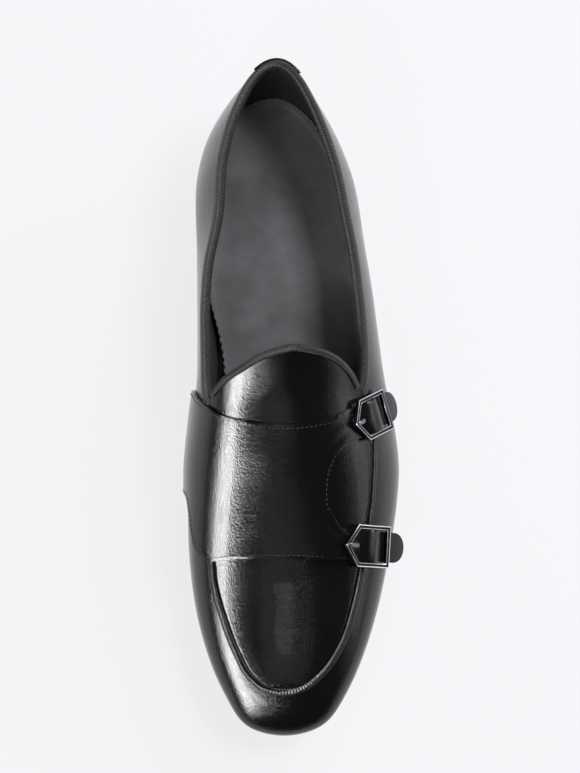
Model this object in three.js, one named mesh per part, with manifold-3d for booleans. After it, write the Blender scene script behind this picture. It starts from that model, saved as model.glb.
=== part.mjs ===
// Double monk strap loafer, left foot, in millimetres.
// +Z is up, the toe points to -Y, +X is the lateral side, and the origin is the middle of the
// heel's flat bottom. Every piece of leather is cut from one surface, the last.
import * as THREE from "three";
import { mergeVertices } from "three/addons/utils/BufferGeometryUtils.js";
import Module from "manifold-3d";

const wasm = await Module();
wasm.setup();

// Last
const LENGTH = 301;
const BALL_WIDTH = 96.5;
const HEEL_REAR = 33; // from the heel's middle to the shoe's rear end
const CONE_HEIGHT = 78; // ridge of the last over its feather line, at the heel
const BULGE_HEIGHT = 13.5; // widest place of a section over the feather line
const FEATHER_TUCK = 4.5; // how far the wall draws in under its widest place
const BACK_LEAN = 5; // the heel's back curve, over BACK_RISE
const BACK_RISE = 42;

// Bottom
const HEEL_HEIGHT = 17;
const TOP_PIECE_HEIGHT = 6;
const SOLE_THICKNESS = 4.5;
const SOLE_MARGIN = 1.4; // sole edge outside the feather line
const SOLE_BEVEL = 1;
const TOE_SPRING = 9;
const HEEL_TAPER = 1.2;
const HEEL_INSET = 0.6;
const BREAST_HOLLOW = 3;
const INSOLE_THICKNESS = 3;

// Leather and ribbon
const WALL = 2;
const SADDLE_THICKNESS = 1.6;
const SEAM_HEIGHT = 1;
const SEAM_WIDTH = 2.3;
const RIBBON_THICKNESS = 0.6;
const RIBBON_WIDTH = 3.4;
const TONGUE_RIBBON_WIDTH = 2.4;
const COLLAR_BACK = 56; // collar over the heel seat, at the back
const TAB_WIDTH = 18.5;
const TAB_HEIGHT = 22;
const TAB_THICKNESS = 1.5;
const CLEARANCE = 0.3; // between touching pieces

// Buckles and the straps through them
const BUCKLE_WIDTH = 18.6;
const BUCKLE_REAR = 10.6; // middle of the centre bar to the outside of the straight side
const BUCKLE_POINT = 14.6; // middle of the centre bar to the tip of the point
const BUCKLE_SHOULDER = 7.6;
const BUCKLE_BAND = 1.9;
const BUCKLE_THICKNESS = 1.8;
const BAR_WIDTH = 2;
const BAR_THICKNESS = 1.2;
const BUCKLE_LIFT = 2; // underside of the frame over the upper, at the bar
const PRONG_WIDTH = 1.7;
const PRONG_THICKNESS = 1.1;
const STRAP_WIDTH = 13.4;
const STRAP_TIP = 21; // middle of the centre bar to the strap's round end
const STRAP_DROP = 1.2; // how far the strap's end lies under its seat at the straight side
const PRONG_BEND = 2; // from the inside of the frame's point to the bend in the prong
const SLOT_REACH = 6.2; // middle of the centre bar to the front end of the prong's slot

// Sections of the last. at: share of LENGTH from the heel; medial and lateral: half widths as
// shares of BALL_WIDTH; tucks as shares of FEATHER_TUCK; ridge as a share of CONE_HEIGHT; bulge as
// a share of BULGE_HEIGHT; the two squarenesses are the exponents of the section's upper curve.
const SECTION_COLUMNS = [
  "at", "medial", "lateral", "tuckMedial", "tuckLateral",
  "ridge", "bulge", "squareMedial", "squareLateral",
];
const SECTIONS = [
  [0, 0, 0, 0.8, 0.8, 1, 1, 1.5, 1.5],
  [0.049, 0.255, 0.228, 0.8, 0.8, 0.995, 1, 1.45, 1.45],
  [0.1, 0.338, 0.316, 0.8, 0.8, 0.987, 1, 1.45, 1.45],
  [0.148, 0.374, 0.37, 0.8, 0.8, 0.978, 1, 1.45, 1.45],
  [0.279, 0.38, 0.428, 1.35, 1.1, 0.95, 1.05, 1.6, 1.5],
  [0.335, 0.381, 0.453, 1.65, 1.45, 0.94, 1.1, 2.1, 1.56],
  [0.392, 0.382, 0.475, 2, 1.65, 0.925, 1.15, 2.6, 1.68],
  [0.465, 0.388, 0.507, 1.75, 1.65, 0.885, 1.1, 2.8, 1.8],
  [0.53, 0.415, 0.549, 1.35, 1.35, 0.81, 1, 2.5, 1.75],
  [0.595, 0.435, 0.566, 1.1, 1.1, 0.73, 1, 2.35, 1.8],
  [0.657, 0.435, 0.548, 1, 1, 0.645, 1, 2.35, 1.9],
  [0.718, 0.433, 0.513, 1, 1, 0.573, 1, 2.3, 2],
  [0.811, 0.402, 0.445, 1, 1, 0.47, 0.95, 2.3, 2.2],
  [0.883, 0.346, 0.369, 1, 1, 0.39, 0.9, 2.3, 2.3],
  [0.94, 0.272, 0.284, 1, 1, 0.31, 0.8, 2.3, 2.3],
  [0.987, 0.165, 0.164, 1, 1, 0.19, 0.65, 2.3, 2.3],
  [1, 0, 0, 1, 1, 0.105, 0.55, 2.3, 2.3],
].map((row) => Object.fromEntries(SECTION_COLUMNS.map((name, i) => [name, row[i]])));
const HEEL_BREAST = 0.245; // shares of LENGTH
const WAIST_START = 0.26;
const WAIST_END = 0.54;
const SPRING_START = 0.72;
const SPRING_POWER = 1.8;
const LOWER_SHARE = 0.18; // part of a section's round that lies under its widest place

// Collar from the side: share of LENGTH, and height over the heel seat as a share of COLLAR_BACK.
const COLLAR = [
  { at: -0.1, height: 1.01 },
  { at: 0.02, height: 0.998 },
  { at: 0.06, height: 0.97 },
  { at: 0.1, height: 0.925 },
  { at: 0.15, height: 0.866 },
  { at: 0.2, height: 0.807 },
  { at: 0.25, height: 0.76 },
  { at: 0.3, height: 0.725 },
  { at: 0.36, height: 0.688 },
  { at: 0.42, height: 0.635 },
  { at: 0.48, height: 0.586 },
  { at: 0.54, height: 0.565 },
];

// Lines on the upper seen from above: shares of LENGTH from the heel and of BALL_WIDTH across.
const TONGUE_EDGE = [
  { at: 0.513, across: -0.332 },
  { at: 0.499, across: -0.281 },
  { at: 0.485, across: -0.191 },
  { at: 0.471, across: -0.099 },
  { at: 0.463, across: -0.009 },
  { at: 0.459, across: 0.06 },
  { at: 0.461, across: 0.128 },
  { at: 0.465, across: 0.22 },
  { at: 0.471, across: 0.268 },
  { at: 0.483, across: 0.318 },
  { at: 0.504, across: 0.363 },
];
const APRON = [
  { at: 0.7525, across: -0.329 },
  { at: 0.78, across: -0.321 },
  { at: 0.831, across: -0.28 },
  { at: 0.879, across: -0.226 },
  { at: 0.919, across: -0.156 },
  { at: 0.936, across: -0.085 },
  { at: 0.941, across: 0 },
  { at: 0.936, across: 0.072 },
  { at: 0.912, across: 0.171 },
  { at: 0.871, across: 0.259 },
  { at: 0.821, across: 0.316 },
  { at: 0.785, across: 0.345 },
];
const APRON_SIDE = [
  { at: 0.683, across: 0.406 },
  { at: 0.66, across: 0.417 },
  { at: 0.632, across: 0.424 },
  { at: 0.603, across: 0.428 },
  { at: 0.588, across: 0.428 },
];
const SADDLE_REAR = [
  { at: 0.53, across: -0.325 },
  { at: 0.543, across: -0.285 },
  { at: 0.556, across: -0.196 },
  { at: 0.563, across: -0.107 },
  { at: 0.567, across: 0.007 },
  { at: 0.563, across: 0.121 },
  { at: 0.555, across: 0.215 },
  { at: 0.539, across: 0.312 },
  { at: 0.528, across: 0.375 },
];
const CUT_OUT = [
  { at: 0.562, across: 0.395 },
  { at: 0.577, across: 0.338 },
  { at: 0.594, across: 0.273 },
  { at: 0.62, across: 0.22 },
  { at: 0.65, across: 0.199 },
  { at: 0.681, across: 0.207 },
  { at: 0.705, across: 0.251 },
  { at: 0.713, across: 0.293 },
  { at: 0.709, across: 0.38 },
];
const SADDLE_FRONT = [
  { at: 0.753, across: 0.38 },
  { at: 0.755, across: 0.2 },
  { at: 0.753, across: 0.063 },
  { at: 0.752, across: -0.075 },
  { at: 0.75, across: -0.21 },
  { at: 0.7485, across: -0.325 },
];
// The saddle on the medial wall, from the side: share of LENGTH, and height over the floor as a
// share of COLLAR_BACK.
const SADDLE_WALL = [
  { at: 0.53, height: 1.4 },
  { at: 0.53, height: 0.97 },
  { at: 0.511, height: 0.83 },
  { at: 0.482, height: 0.52 },
  { at: 0.47, height: 0.32 },
  { at: 0.465, height: 0.1 },
  { at: 0.622, height: 0.1 },
  { at: 0.628, height: 0.25 },
  { at: 0.638, height: 0.45 },
  { at: 0.652, height: 0.555 },
  { at: 0.7, height: 0.58 },
  { at: 0.732, height: 0.6 },
  { at: 0.746, height: 0.65 },
  { at: 0.7485, height: 0.71 },
  { at: 0.7485, height: 1.4 },
];
const SADDLE_FOOT = 1.2; // the saddle ends this far over the feather line
const WALL_SPLIT = -0.325; // share of BALL_WIDTH where the saddle turns onto the medial wall
const CORNER_MEDIAL = -0.325; // the throat's corners, shares of BALL_WIDTH
const CORNER_LATERAL = 0.36;
const CORNER_AT = 0.45;
const CORNER_GAP = 2.4; // between the ends of the two ribbons

// Buckles: place of the centre bar on the upper (share of LENGTH, share of the section's round)
// and the strap's turn towards the heel, in degrees.
const BUCKLES = [
  { name: "upper", at: 0.541, round: 0.325, turn: 27 },
  { name: "lower", at: 0.73, round: 0.325, turn: 3 },
];

// Lower face of a strap in front of the bar and behind it. out: share of BUCKLE_POINT from the bar;
// up: share of BUCKLE_LIFT off the upper.
const ROUTE_BEFORE_BAR = [
  { out: -1.16, up: -1.6 },
  { out: -0.82, up: -0.75 },
  { out: -0.55, up: -0.15 },
  { out: -0.29, up: 0.85 },
];
const ROUTE_BEHIND_BAR = [{ out: 0.32, up: 0.6 }];

// Bodies are made of closed rings of points, one after the other, or of extruded outlines.
function solidFrom(points, faces) {
  const vertProperties = new Float32Array(points.flatMap((p) => [p.x, p.y, p.z]));
  const triVerts = new Uint32Array(faces.flat());
  const made = new wasm.Manifold(new wasm.Mesh({ numProp: 3, vertProperties, triVerts }));
  if (made.volume() > 0) return made;
  const turned = faces.map(([a, b, c]) => [a, c, b]).flat();
  return new wasm.Manifold(
    new wasm.Mesh({ numProp: 3, vertProperties, triVerts: new Uint32Array(turned) }),
  );
}

function ringSolid(rings) {
  const count = rings[0].length;
  const points = rings.flat();
  const faces = [];
  for (let i = 0; i + 1 < rings.length; i++)
    for (let j = 0; j < count; j++) {
      const a = i * count + j;
      const b = i * count + ((j + 1) % count);
      faces.push([a, b, a + count], [b, b + count, a + count]);
    }
  // Each end is closed by a ladder between the ring's two halves
  const end = (rings.length - 1) * count;
  for (let j = 0; j < (count - 1) / 2; j++) {
    const a = j;
    const b = j + 1;
    const c = count - 2 - j;
    const d = count - 1 - j;
    faces.push([a, d, b], [end + a, end + b, end + d]);
    if (c > b) faces.push([b, d, c], [end + b, end + c, end + d]);
  }
  return solidFrom(points, faces);
}

function solidOf(geometry) {
  geometry.deleteAttribute("normal");
  geometry.deleteAttribute("uv");
  const merged = mergeVertices(geometry, 1e-4);
  const position = merged.attributes.position;
  const points = [];
  for (let i = 0; i < position.count; i++) points.push(new THREE.Vector3().fromBufferAttribute(position, i));
  const faces = [];
  for (let i = 0; i < merged.index.count; i += 3)
    faces.push([merged.index.array[i], merged.index.array[i + 1], merged.index.array[i + 2]]);
  return solidFrom(points, faces);
}

// An outline of [across, up] pairs pushed along the third direction of a frame.
function prism(outline, frame, from, to) {
  const shape = new THREE.Shape(outline.map(([a, b]) => new THREE.Vector2(a, b)));
  const geometry = new THREE.ExtrudeGeometry(shape, { depth: to - from, bevelEnabled: false });
  geometry.translate(0, 0, from);
  geometry.applyMatrix4(frame);
  return solidOf(geometry);
}
const FROM_ABOVE = new THREE.Matrix4();
const FROM_SIDE = new THREE.Matrix4().makeBasis(
  new THREE.Vector3(0, 1, 0),
  new THREE.Vector3(0, 0, 1),
  new THREE.Vector3(1, 0, 0),
);
const FAR = 150; // well outside the shoe
const PLAN_MARGIN = 3;
const PLAN_FLOOR = BULGE_HEIGHT + SOLE_THICKNESS + PLAN_MARGIN; // lines seen from above act over it
const WELL_OUTSIDE = 30; // a margin that is wider than the wall
const END_WIDTH = 0.2; // least half width of a sole's ring
const RING_ENDS = [0.006, 0.994]; // stations of a solid's first and last ring

// Smooth curve through a column of a table, over the station angle.
const stationOf = (at) => Math.acos(1 - 2 * THREE.MathUtils.clamp(at, 0, 1)) / Math.PI;
const shareOf = (station) => (1 - Math.cos(Math.PI * station)) / 2;
function smoothColumn(rows, across, name) {
  const xs = rows.map((row) => across(row.at));
  const ys = rows.map((row) => row[name]);
  const slopes = xs.slice(1).map((x, i) => (ys[i + 1] - ys[i]) / (x - xs[i]));
  const tangents = xs.map((x, i) => {
    if (i === 0) return slopes[0];
    if (i === xs.length - 1) return slopes.at(-1);
    if (slopes[i - 1] * slopes[i] < 0) return 0;
    const before = x - xs[i - 1];
    const after = xs[i + 1] - x;
    return (slopes[i - 1] * after + slopes[i] * before) / (before + after);
  });
  return (x) => {
    let i = 0;
    while (i < xs.length - 2 && x > xs[i + 1]) i++;
    const h = xs[i + 1] - xs[i];
    const t = (x - xs[i]) / h;
    return (
      (2 * t ** 3 - 3 * t ** 2 + 1) * ys[i] +
      (t ** 3 - 2 * t ** 2 + t) * h * tangents[i] +
      (3 * t ** 2 - 2 * t ** 3) * ys[i + 1] +
      (t ** 3 - t ** 2) * h * tangents[i + 1]
    );
  };
}
const section = {};
for (const name of Object.keys(SECTIONS[0])) section[name] = smoothColumn(SECTIONS, stationOf, name);

// Underside of the sole over the floor: flat at the ball, sprung at the toe, and at heel height
// behind the waist.
function soleUnderside(at) {
  const climb = THREE.MathUtils.smoothstep(WAIST_END - at, 0, WAIST_END - WAIST_START);
  const spring = Math.max(0, (at - SPRING_START) / (1 - SPRING_START)) ** SPRING_POWER;
  return (HEEL_HEIGHT + CLEARANCE) * climb + TOE_SPRING * spring;
}
const featherHeight = (at) => soleUnderside(at) + SOLE_THICKNESS + CLEARANCE;
const HEEL_SEAT = featherHeight(0);

// The widest outline from above, with its outward direction, on one side of the shoe.
function widest(station, lateral) {
  const width = (at) => (lateral ? section.lateral(at) : section.medial(at)) * BALL_WIDTH;
  const step = 1e-3;
  const before = Math.max(0, station - step);
  const after = Math.min(1, station + step);
  const along = LENGTH * (shareOf(after) - shareOf(before));
  const rise = width(after) - width(before);
  const size = Math.hypot(along, rise);
  return { x: width(station), along: LENGTH * shareOf(station), outX: along / size, outAlong: -rise / size };
}

// The last. station runs 0 to 1 from heel to toe. round runs 0 to 1 from the lateral feather line
// over the ridge to the medial one. reach over 1 carries the wall on below the feather line.
function last(station, round, reach) {
  const at = shareOf(station);
  const lateral = round < 0.5;
  const near = lateral ? round : 1 - round;
  const low = featherHeight(at);
  const top = low + CONE_HEIGHT * section.ridge(station);
  const mid = Math.min(low + BULGE_HEIGHT * section.bulge(station), top - 1);
  const edge = widest(station, lateral);
  const tuck = FEATHER_TUCK * (lateral ? section.tuckLateral(station) : section.tuckMedial(station));
  const power = 2 / (lateral ? section.squareLateral(station) : section.squareMedial(station));
  let { x, along } = edge;
  let z;
  if (near < LOWER_SHARE) {
    const under = (1 - near / LOWER_SHARE) * reach;
    x -= tuck * under ** 2 * edge.outX;
    along -= tuck * under ** 2 * edge.outAlong;
    z = mid - (mid - low) * under;
  } else {
    const turn = ((near - LOWER_SHARE) / (0.5 - LOWER_SHARE)) * (Math.PI / 2);
    x *= Math.abs(Math.cos(turn)) ** power;
    z = mid + (top - mid) * Math.sin(turn) ** power;
  }
  const up = THREE.MathUtils.clamp((z - mid) / BACK_RISE, 0, 1.2);
  along += BACK_LEAN * up ** 1.6 * Math.max(0, 1 - at / 0.3) ** 2;
  return new THREE.Vector3(lateral ? x : -x, HEEL_REAR - along, z);
}

// A point of the last moved out by offset, with the directions there.
function skin(station, round, offset = 0, reach = 1) {
  const step = 2e-3;
  const inside = (value) => THREE.MathUtils.clamp(value, 5e-4, 1 - 5e-4);
  const whole = (value) => THREE.MathUtils.clamp(value, 0, 1);
  const point = last(station, round, reach);
  const forward = last(inside(station + step), round, reach).sub(last(inside(station - step), round, reach));
  const over = last(station, whole(round + step), reach).sub(last(station, whole(round - step), reach));
  const normal = over.clone().cross(forward).normalize();
  return { point: point.addScaledVector(normal, offset), normal, over: over.normalize() };
}

// A closed solid of the last's form, larger or smaller by offset.
function lastSolid(offset, { stations = 40, arch = 18, lower = 2, ends = RING_ENDS, reach = 1 } = {}) {
  const rounds = [];
  for (let i = 0; i < lower; i++) rounds.push((LOWER_SHARE * i) / lower);
  for (let i = 0; i <= arch; i++) rounds.push(LOWER_SHARE + ((1 - 2 * LOWER_SHARE) * i) / arch);
  for (let i = lower - 1; i >= 0; i--) rounds.push(1 - (LOWER_SHARE * i) / lower);
  const rings = [];
  for (let i = 0; i <= stations; i++) {
    const station = THREE.MathUtils.lerp(ends[0], ends[1], i / stations);
    rings.push(rounds.map((round) => skin(station, round, offset, reach).point));
  }
  return ringSolid(rings);
}

// Lines of a table as points seen from above, smoothed
function fromAbove(rows, steps) {
  const points = rows.map((r) => new THREE.Vector2(r.across * BALL_WIDTH, HEEL_REAR - r.at * LENGTH));
  return new THREE.SplineCurve(points).getPoints(steps).map((p) => [p.x, p.y]);
}
// The strip between a line moved by two amounts, to its left when positive
function strip(line, left, right) {
  const moved = (amount) =>
    line.map(([x, y], i) => {
      const [x0, y0] = line[Math.max(0, i - 1)];
      const [x1, y1] = line[Math.min(line.length - 1, i + 1)];
      const size = Math.hypot(x1 - x0, y1 - y0);
      return [x - ((y1 - y0) / size) * amount, y + ((x1 - x0) / size) * amount];
    });
  return [...moved(left), ...moved(right).reverse()];
}
const rectangle = (x0, x1, y0, y1) => [
  [x0, y0],
  [x1, y0],
  [x1, y1],
  [x0, y1],
];
const box = (x0, x1, y0, y1, z0, z1) => prism(rectangle(x0, x1, y0, y1), FROM_ABOVE, z0, z1);

// Upper
const HOLLOW_STEPS = { stations: 30, arch: 14, ends: [0.02, 0.965] };
const outer = lastSolid(0);
const hollow = lastSolid(-WALL, { ...HOLLOW_STEPS, reach: 1.4 });
const collarHeight = smoothColumn(COLLAR, (at) => at, "height");
const collarLine = [];
const COLLAR_STEPS = 18;
for (let i = 0; i <= COLLAR_STEPS; i++) {
  const at = THREE.MathUtils.lerp(COLLAR[0].at, COLLAR.at(-1).at, i / COLLAR_STEPS);
  collarLine.push([HEEL_REAR - at * LENGTH, HEEL_SEAT + COLLAR_BACK * collarHeight(at)]);
}
// Everything over the collar line moved up by raise
const aboveCollar = (raise) => {
  const line = collarLine.map(([y, z]) => [y, z + raise]);
  return prism([...line, [line.at(-1)[0], FAR], [line[0][0], FAR]], FROM_SIDE, -FAR, FAR);
};
const tongueLine = fromAbove(TONGUE_EDGE, 22);
// Everything behind the tongue's edge moved back by shift
const behindTongue = (shift) => {
  const line = tongueLine.map(([x, y]) => [x, y + shift]);
  const outline = [[-FAR, line[0][1]], ...line, [FAR, line.at(-1)[1]], [FAR, FAR], [-FAR, FAR]];
  return prism(outline, FROM_ABOVE, 0, FAR);
};
const upper = outer.subtract(hollow).subtract(aboveCollar(0).intersect(behindTongue(0)));

// Sole, heel and insole follow the feather line
function featherPoint(station, lateral, margin, z) {
  const edge = widest(station, lateral);
  const tuck = FEATHER_TUCK * (lateral ? section.tuckLateral(station) : section.tuckMedial(station));
  const x = edge.x + (margin - tuck) * edge.outX;
  const along = edge.along + (margin - tuck) * edge.outAlong;
  const half = Math.max(x, END_WIDTH);
  return new THREE.Vector3(lateral ? half : -half, HEEL_REAR - along, z);
}
function bottomSolid(profile, { stations, ends }) {
  const rings = [];
  for (let i = 0; i <= stations; i++) {
    const station = THREE.MathUtils.lerp(ends[0], ends[1], i / stations);
    const under = soleUnderside(shareOf(station));
    const half = (lateral) =>
      profile.map(([margin, up]) => featherPoint(station, lateral, margin, under + up));
    rings.push([...half(true), ...half(false).reverse()]);
  }
  return ringSolid(rings);
}
const BOTTOM_STEPS = { stations: 50, ends: RING_ENDS };
const outsole = bottomSolid(
  [
    [SOLE_MARGIN - SOLE_BEVEL, 0],
    [SOLE_MARGIN, SOLE_BEVEL],
    [SOLE_MARGIN, SOLE_THICKNESS - SOLE_BEVEL / 2],
    [SOLE_MARGIN - SOLE_BEVEL / 2, SOLE_THICKNESS],
  ],
  BOTTOM_STEPS,
);
const seatLevel = SOLE_THICKNESS + CLEARANCE;
const insole = bottomSolid(
  [
    [0, seatLevel],
    [0, seatLevel + INSOLE_THICKNESS],
  ],
  BOTTOM_STEPS,
).intersect(lastSolid(-(WALL + CLEARANCE), { ...HOLLOW_STEPS, reach: 1.4 }));
function heelSolid(low, high) {
  const steps = 14;
  const breastSteps = 6;
  const outline = (z) => {
    const margin = SOLE_MARGIN - HEEL_INSET - HEEL_TAPER * (1 - z / HEEL_HEIGHT);
    const side = (lateral) =>
      Array.from({ length: steps + 1 }, (_, i) => {
        const station = THREE.MathUtils.lerp(RING_ENDS[0], stationOf(HEEL_BREAST), i / steps);
        return featherPoint(station, lateral, margin, z);
      });
    const points = side(true);
    const other = side(false);
    const breast = [];
    for (let i = 1; i < breastSteps; i++) {
      const across = i / breastSteps;
      const p = points.at(-1).clone().lerp(other.at(-1), across);
      p.y += BREAST_HOLLOW * Math.sin(Math.PI * across);
      breast.push(p);
    }
    return [...points, ...breast, ...other.reverse()];
  };
  return ringSolid([outline(low), outline(high)]);
}
const heelTopPiece = heelSolid(0, TOP_PIECE_HEIGHT);
const heelStack = heelSolid(TOP_PIECE_HEIGHT + CLEARANCE, HEEL_HEIGHT);

// Saddle: a shell over the upper, cut to its outline from above and, on the medial wall, from the
// side
const under = lastSolid(CLEARANCE);
const saddleForm = lastSolid(CLEARANCE + SADDLE_THICKNESS);
const saddlePlan = prism(
  [...fromAbove(SADDLE_REAR, 14), ...fromAbove(CUT_OUT, 18), ...fromAbove(SADDLE_FRONT, 8)],
  FROM_ABOVE,
  PLAN_FLOOR,
  FAR,
);
const wallOutline = SADDLE_WALL.map((r) => [HEEL_REAR - r.at * LENGTH, r.height * COLLAR_BACK]);
const saddleWall = prism(wallOutline, FROM_SIDE, -FAR, WALL_SPLIT * BALL_WIDTH + 0.01);
// Clear of the sole: everything over the feather line by more than the saddle's foot
const overSole = bottomSolid(
  [
    [WELL_OUTSIDE, SOLE_THICKNESS + SADDLE_FOOT],
    [WELL_OUTSIDE, SOLE_THICKNESS + FAR],
  ],
  { stations: 30, ends: [0.2, 0.8] },
);
let saddle = saddleForm.intersect(saddlePlan.add(saddleWall.intersect(overSole)));

// Each buckle has a frame of its own: out along the strap, across it and off the upper
const pieces = [];
for (const place of BUCKLES) {
  const { point, normal, over } = skin(stationOf(place.at), place.round);
  const down = over.negate();
  const heelward = normal.clone().cross(down);
  if (heelward.y < 0) heelward.negate();
  const turn = THREE.MathUtils.degToRad(place.turn);
  const out = down.clone().multiplyScalar(Math.cos(turn)).addScaledVector(heelward, Math.sin(turn));
  const across = normal.clone().cross(out);
  const flat = new THREE.Matrix4().makeBasis(out, across, normal).setPosition(point);
  const edgewise = new THREE.Matrix4().makeBasis(out, normal, across.clone().negate()).setPosition(point);

  // Pentagon band with the bar across it
  const half = BUCKLE_WIDTH / 2;
  const pentagon = (inset) => {
    const lean = Math.atan2(BUCKLE_POINT - BUCKLE_SHOULDER, half);
    const pointInset = inset / Math.cos(lean);
    const shoulder = BUCKLE_SHOULDER - inset * Math.tan((Math.PI / 2 - lean) / 2);
    return [
      [BUCKLE_REAR - inset, half - inset],
      [-shoulder, half - inset],
      [-(BUCKLE_POINT - pointInset), 0],
      [-shoulder, -(half - inset)],
      [BUCKLE_REAR - inset, -(half - inset)],
    ];
  };
  const bandTop = BUCKLE_LIFT + BUCKLE_THICKNESS;
  const band = prism(pentagon(0), flat, BUCKLE_LIFT, bandTop).subtract(
    prism(pentagon(BUCKLE_BAND), flat, BUCKLE_LIFT - 1, bandTop + 1),
  );
  const barHalf = half - BUCKLE_BAND / 2;
  const barOutline = [
    [-BAR_WIDTH / 2, -barHalf],
    [BAR_WIDTH / 2, -barHalf],
    [BAR_WIDTH / 2, barHalf],
    [-BAR_WIDTH / 2, barHalf],
  ];
  const barTop = BUCKLE_LIFT + BAR_THICKNESS;
  const frame = band.add(prism(barOutline, flat, BUCKLE_LIFT, barTop));

  // Prong: from the bar to its seat on the point
  const prongStart = -(BAR_WIDTH / 2 + CLEARANCE);
  const prongEnd = -(BUCKLE_POINT - CLEARANCE);
  const prongBend = -(BUCKLE_POINT - BUCKLE_BAND - PRONG_BEND);
  const seat = bandTop + CLEARANCE;
  const prongOutline = [
    [prongStart, barTop - PRONG_THICKNESS],
    [prongStart, barTop],
    [prongBend, seat + PRONG_THICKNESS],
    [prongEnd, seat + PRONG_THICKNESS],
    [prongEnd, seat],
    [prongBend + PRONG_THICKNESS / 2, seat],
  ];
  const prong = prism(prongOutline, edgewise, -PRONG_WIDTH / 2, PRONG_WIDTH / 2);

  // Strap: under the point, over the bar, under the straight side, to a round end
  const t = SADDLE_THICKNESS;
  const overBar = barTop + CLEARANCE;
  const underSide = BUCKLE_LIFT - CLEARANCE - t;
  const routed = (rows) => rows.map((r) => new THREE.Vector2(r.out * BUCKLE_POINT, r.up * BUCKLE_LIFT));
  const route = new THREE.SplineCurve([
    ...routed(ROUTE_BEFORE_BAR),
    new THREE.Vector2(-BAR_WIDTH * 0.6, overBar),
    new THREE.Vector2(BAR_WIDTH * 0.6, overBar),
    ...routed(ROUTE_BEHIND_BAR),
    new THREE.Vector2(BUCKLE_REAR - BUCKLE_BAND - 2 * CLEARANCE, underSide),
    new THREE.Vector2(BUCKLE_REAR + 2 * CLEARANCE, underSide),
    new THREE.Vector2(STRAP_TIP, underSide - STRAP_DROP),
  ]);
  const lowLine = route.getPoints(36).map((p) => [p.x, p.y]);
  const strapSide = prism(strip(lowLine, t, 0), edgewise, -STRAP_WIDTH / 2, STRAP_WIDTH / 2);
  const tipOutline = [[-FAR, -STRAP_WIDTH / 2]];
  for (let i = 0; i <= 12; i++) {
    const angle = -Math.PI / 2 + (Math.PI * i) / 12;
    const centre = STRAP_TIP - STRAP_WIDTH / 2;
    tipOutline.push([centre + (STRAP_WIDTH / 2) * Math.cos(angle), (STRAP_WIDTH / 2) * Math.sin(angle)]);
  }
  tipOutline.push([-FAR, STRAP_WIDTH / 2]);
  const strapPlan = prism(tipOutline, flat, -FAR, FAR);
  const slot = prism(
    rectangle(-SLOT_REACH, prongStart + 2 * CLEARANCE, CLEARANCE, overBar + 2 * t),
    edgewise,
    -(PRONG_WIDTH / 2 + CLEARANCE),
    PRONG_WIDTH / 2 + CLEARANCE,
  );
  saddle = saddle.add(strapSide.intersect(strapPlan)).subtract(slot);
  pieces.push([`buckle_frame_${place.name}`, frame, "steel"], [`buckle_prong_${place.name}`, prong, "steel"]);
}
saddle = saddle.subtract(under);

// Whip-stitched seam round the plug, in front of the saddle and in the cut-out
const seamForm = lastSolid(CLEARANCE + SEAM_HEIGHT).subtract(under);
const seamAlong = (rows, steps) => {
  const outline = strip(fromAbove(rows, steps), SEAM_WIDTH / 2, -SEAM_WIDTH / 2);
  return seamForm.intersect(prism(outline, FROM_ABOVE, PLAN_FLOOR, FAR));
};
const seamToe = seamAlong(APRON, 36);
const seamSide = seamAlong(APRON_SIDE, 8);

// Ribbon folded over the edge of the upper: a sleeve between two walls, less the wall inside it
const ribbonOut = CLEARANCE + RIBBON_THICKNESS;
const hollowBy = (depth) => lastSolid(-depth, HOLLOW_STEPS);
const sleeve = lastSolid(ribbonOut).subtract(hollowBy(WALL + ribbonOut));
const filling = under.subtract(hollowBy(WALL + CLEARANCE));
const throat = box(
  CORNER_MEDIAL * BALL_WIDTH,
  CORNER_LATERAL * BALL_WIDTH,
  -FAR * 2,
  HEEL_REAR - CORNER_AT * LENGTH,
  0,
  FAR,
);
const collarBinding = sleeve
  .intersect(aboveCollar(-RIBBON_WIDTH))
  .subtract(aboveCollar(ribbonOut))
  .intersect(behindTongue(CLEARANCE))
  .subtract(filling.subtract(aboveCollar(CLEARANCE)))
  .subtract(throat);
const tongueZone = box(
  CORNER_MEDIAL * BALL_WIDTH + CORNER_GAP,
  CORNER_LATERAL * BALL_WIDTH - CORNER_GAP,
  -FAR * 2,
  0,
  HEEL_SEAT + COLLAR_BACK * collarHeight(0.5),
  FAR,
);
const tongueBinding = sleeve
  .intersect(behindTongue(-TONGUE_RIBBON_WIDTH))
  .subtract(behindTongue(ribbonOut))
  .subtract(filling.subtract(behindTongue(CLEARANCE)))
  .intersect(tongueZone);

// Tab at the back, stepped over the ribbon
const collarTop = HEEL_SEAT + COLLAR_BACK;
const tabBox = box(-TAB_WIDTH / 2, TAB_WIDTH / 2, 0, 2 * HEEL_REAR, collarTop - TAB_HEIGHT, collarTop + FAR);
const heelTab = lastSolid(ribbonOut + CLEARANCE + TAB_THICKNESS / 2)
  .intersect(tabBox)
  .subtract(aboveCollar(0))
  .subtract(under)
  .subtract(lastSolid(ribbonOut + CLEARANCE).intersect(aboveCollar(-RIBBON_WIDTH - CLEARANCE)));

// Colours and finishes
const finishes = {
  leather: { color: 0x17171a, roughness: 0.3, metalness: 0 },
  sole: { color: 0x1b1b1c, roughness: 0.55, metalness: 0 },
  rubber: { color: 0x161616, roughness: 0.8, metalness: 0 },
  insole: { color: 0x4a4a4c, roughness: 0.7, metalness: 0 },
  ribbon: { color: 0x232326, roughness: 0.8, metalness: 0 },
  steel: { color: 0x6a6c70, roughness: 0.25, metalness: 1 },
};

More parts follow.
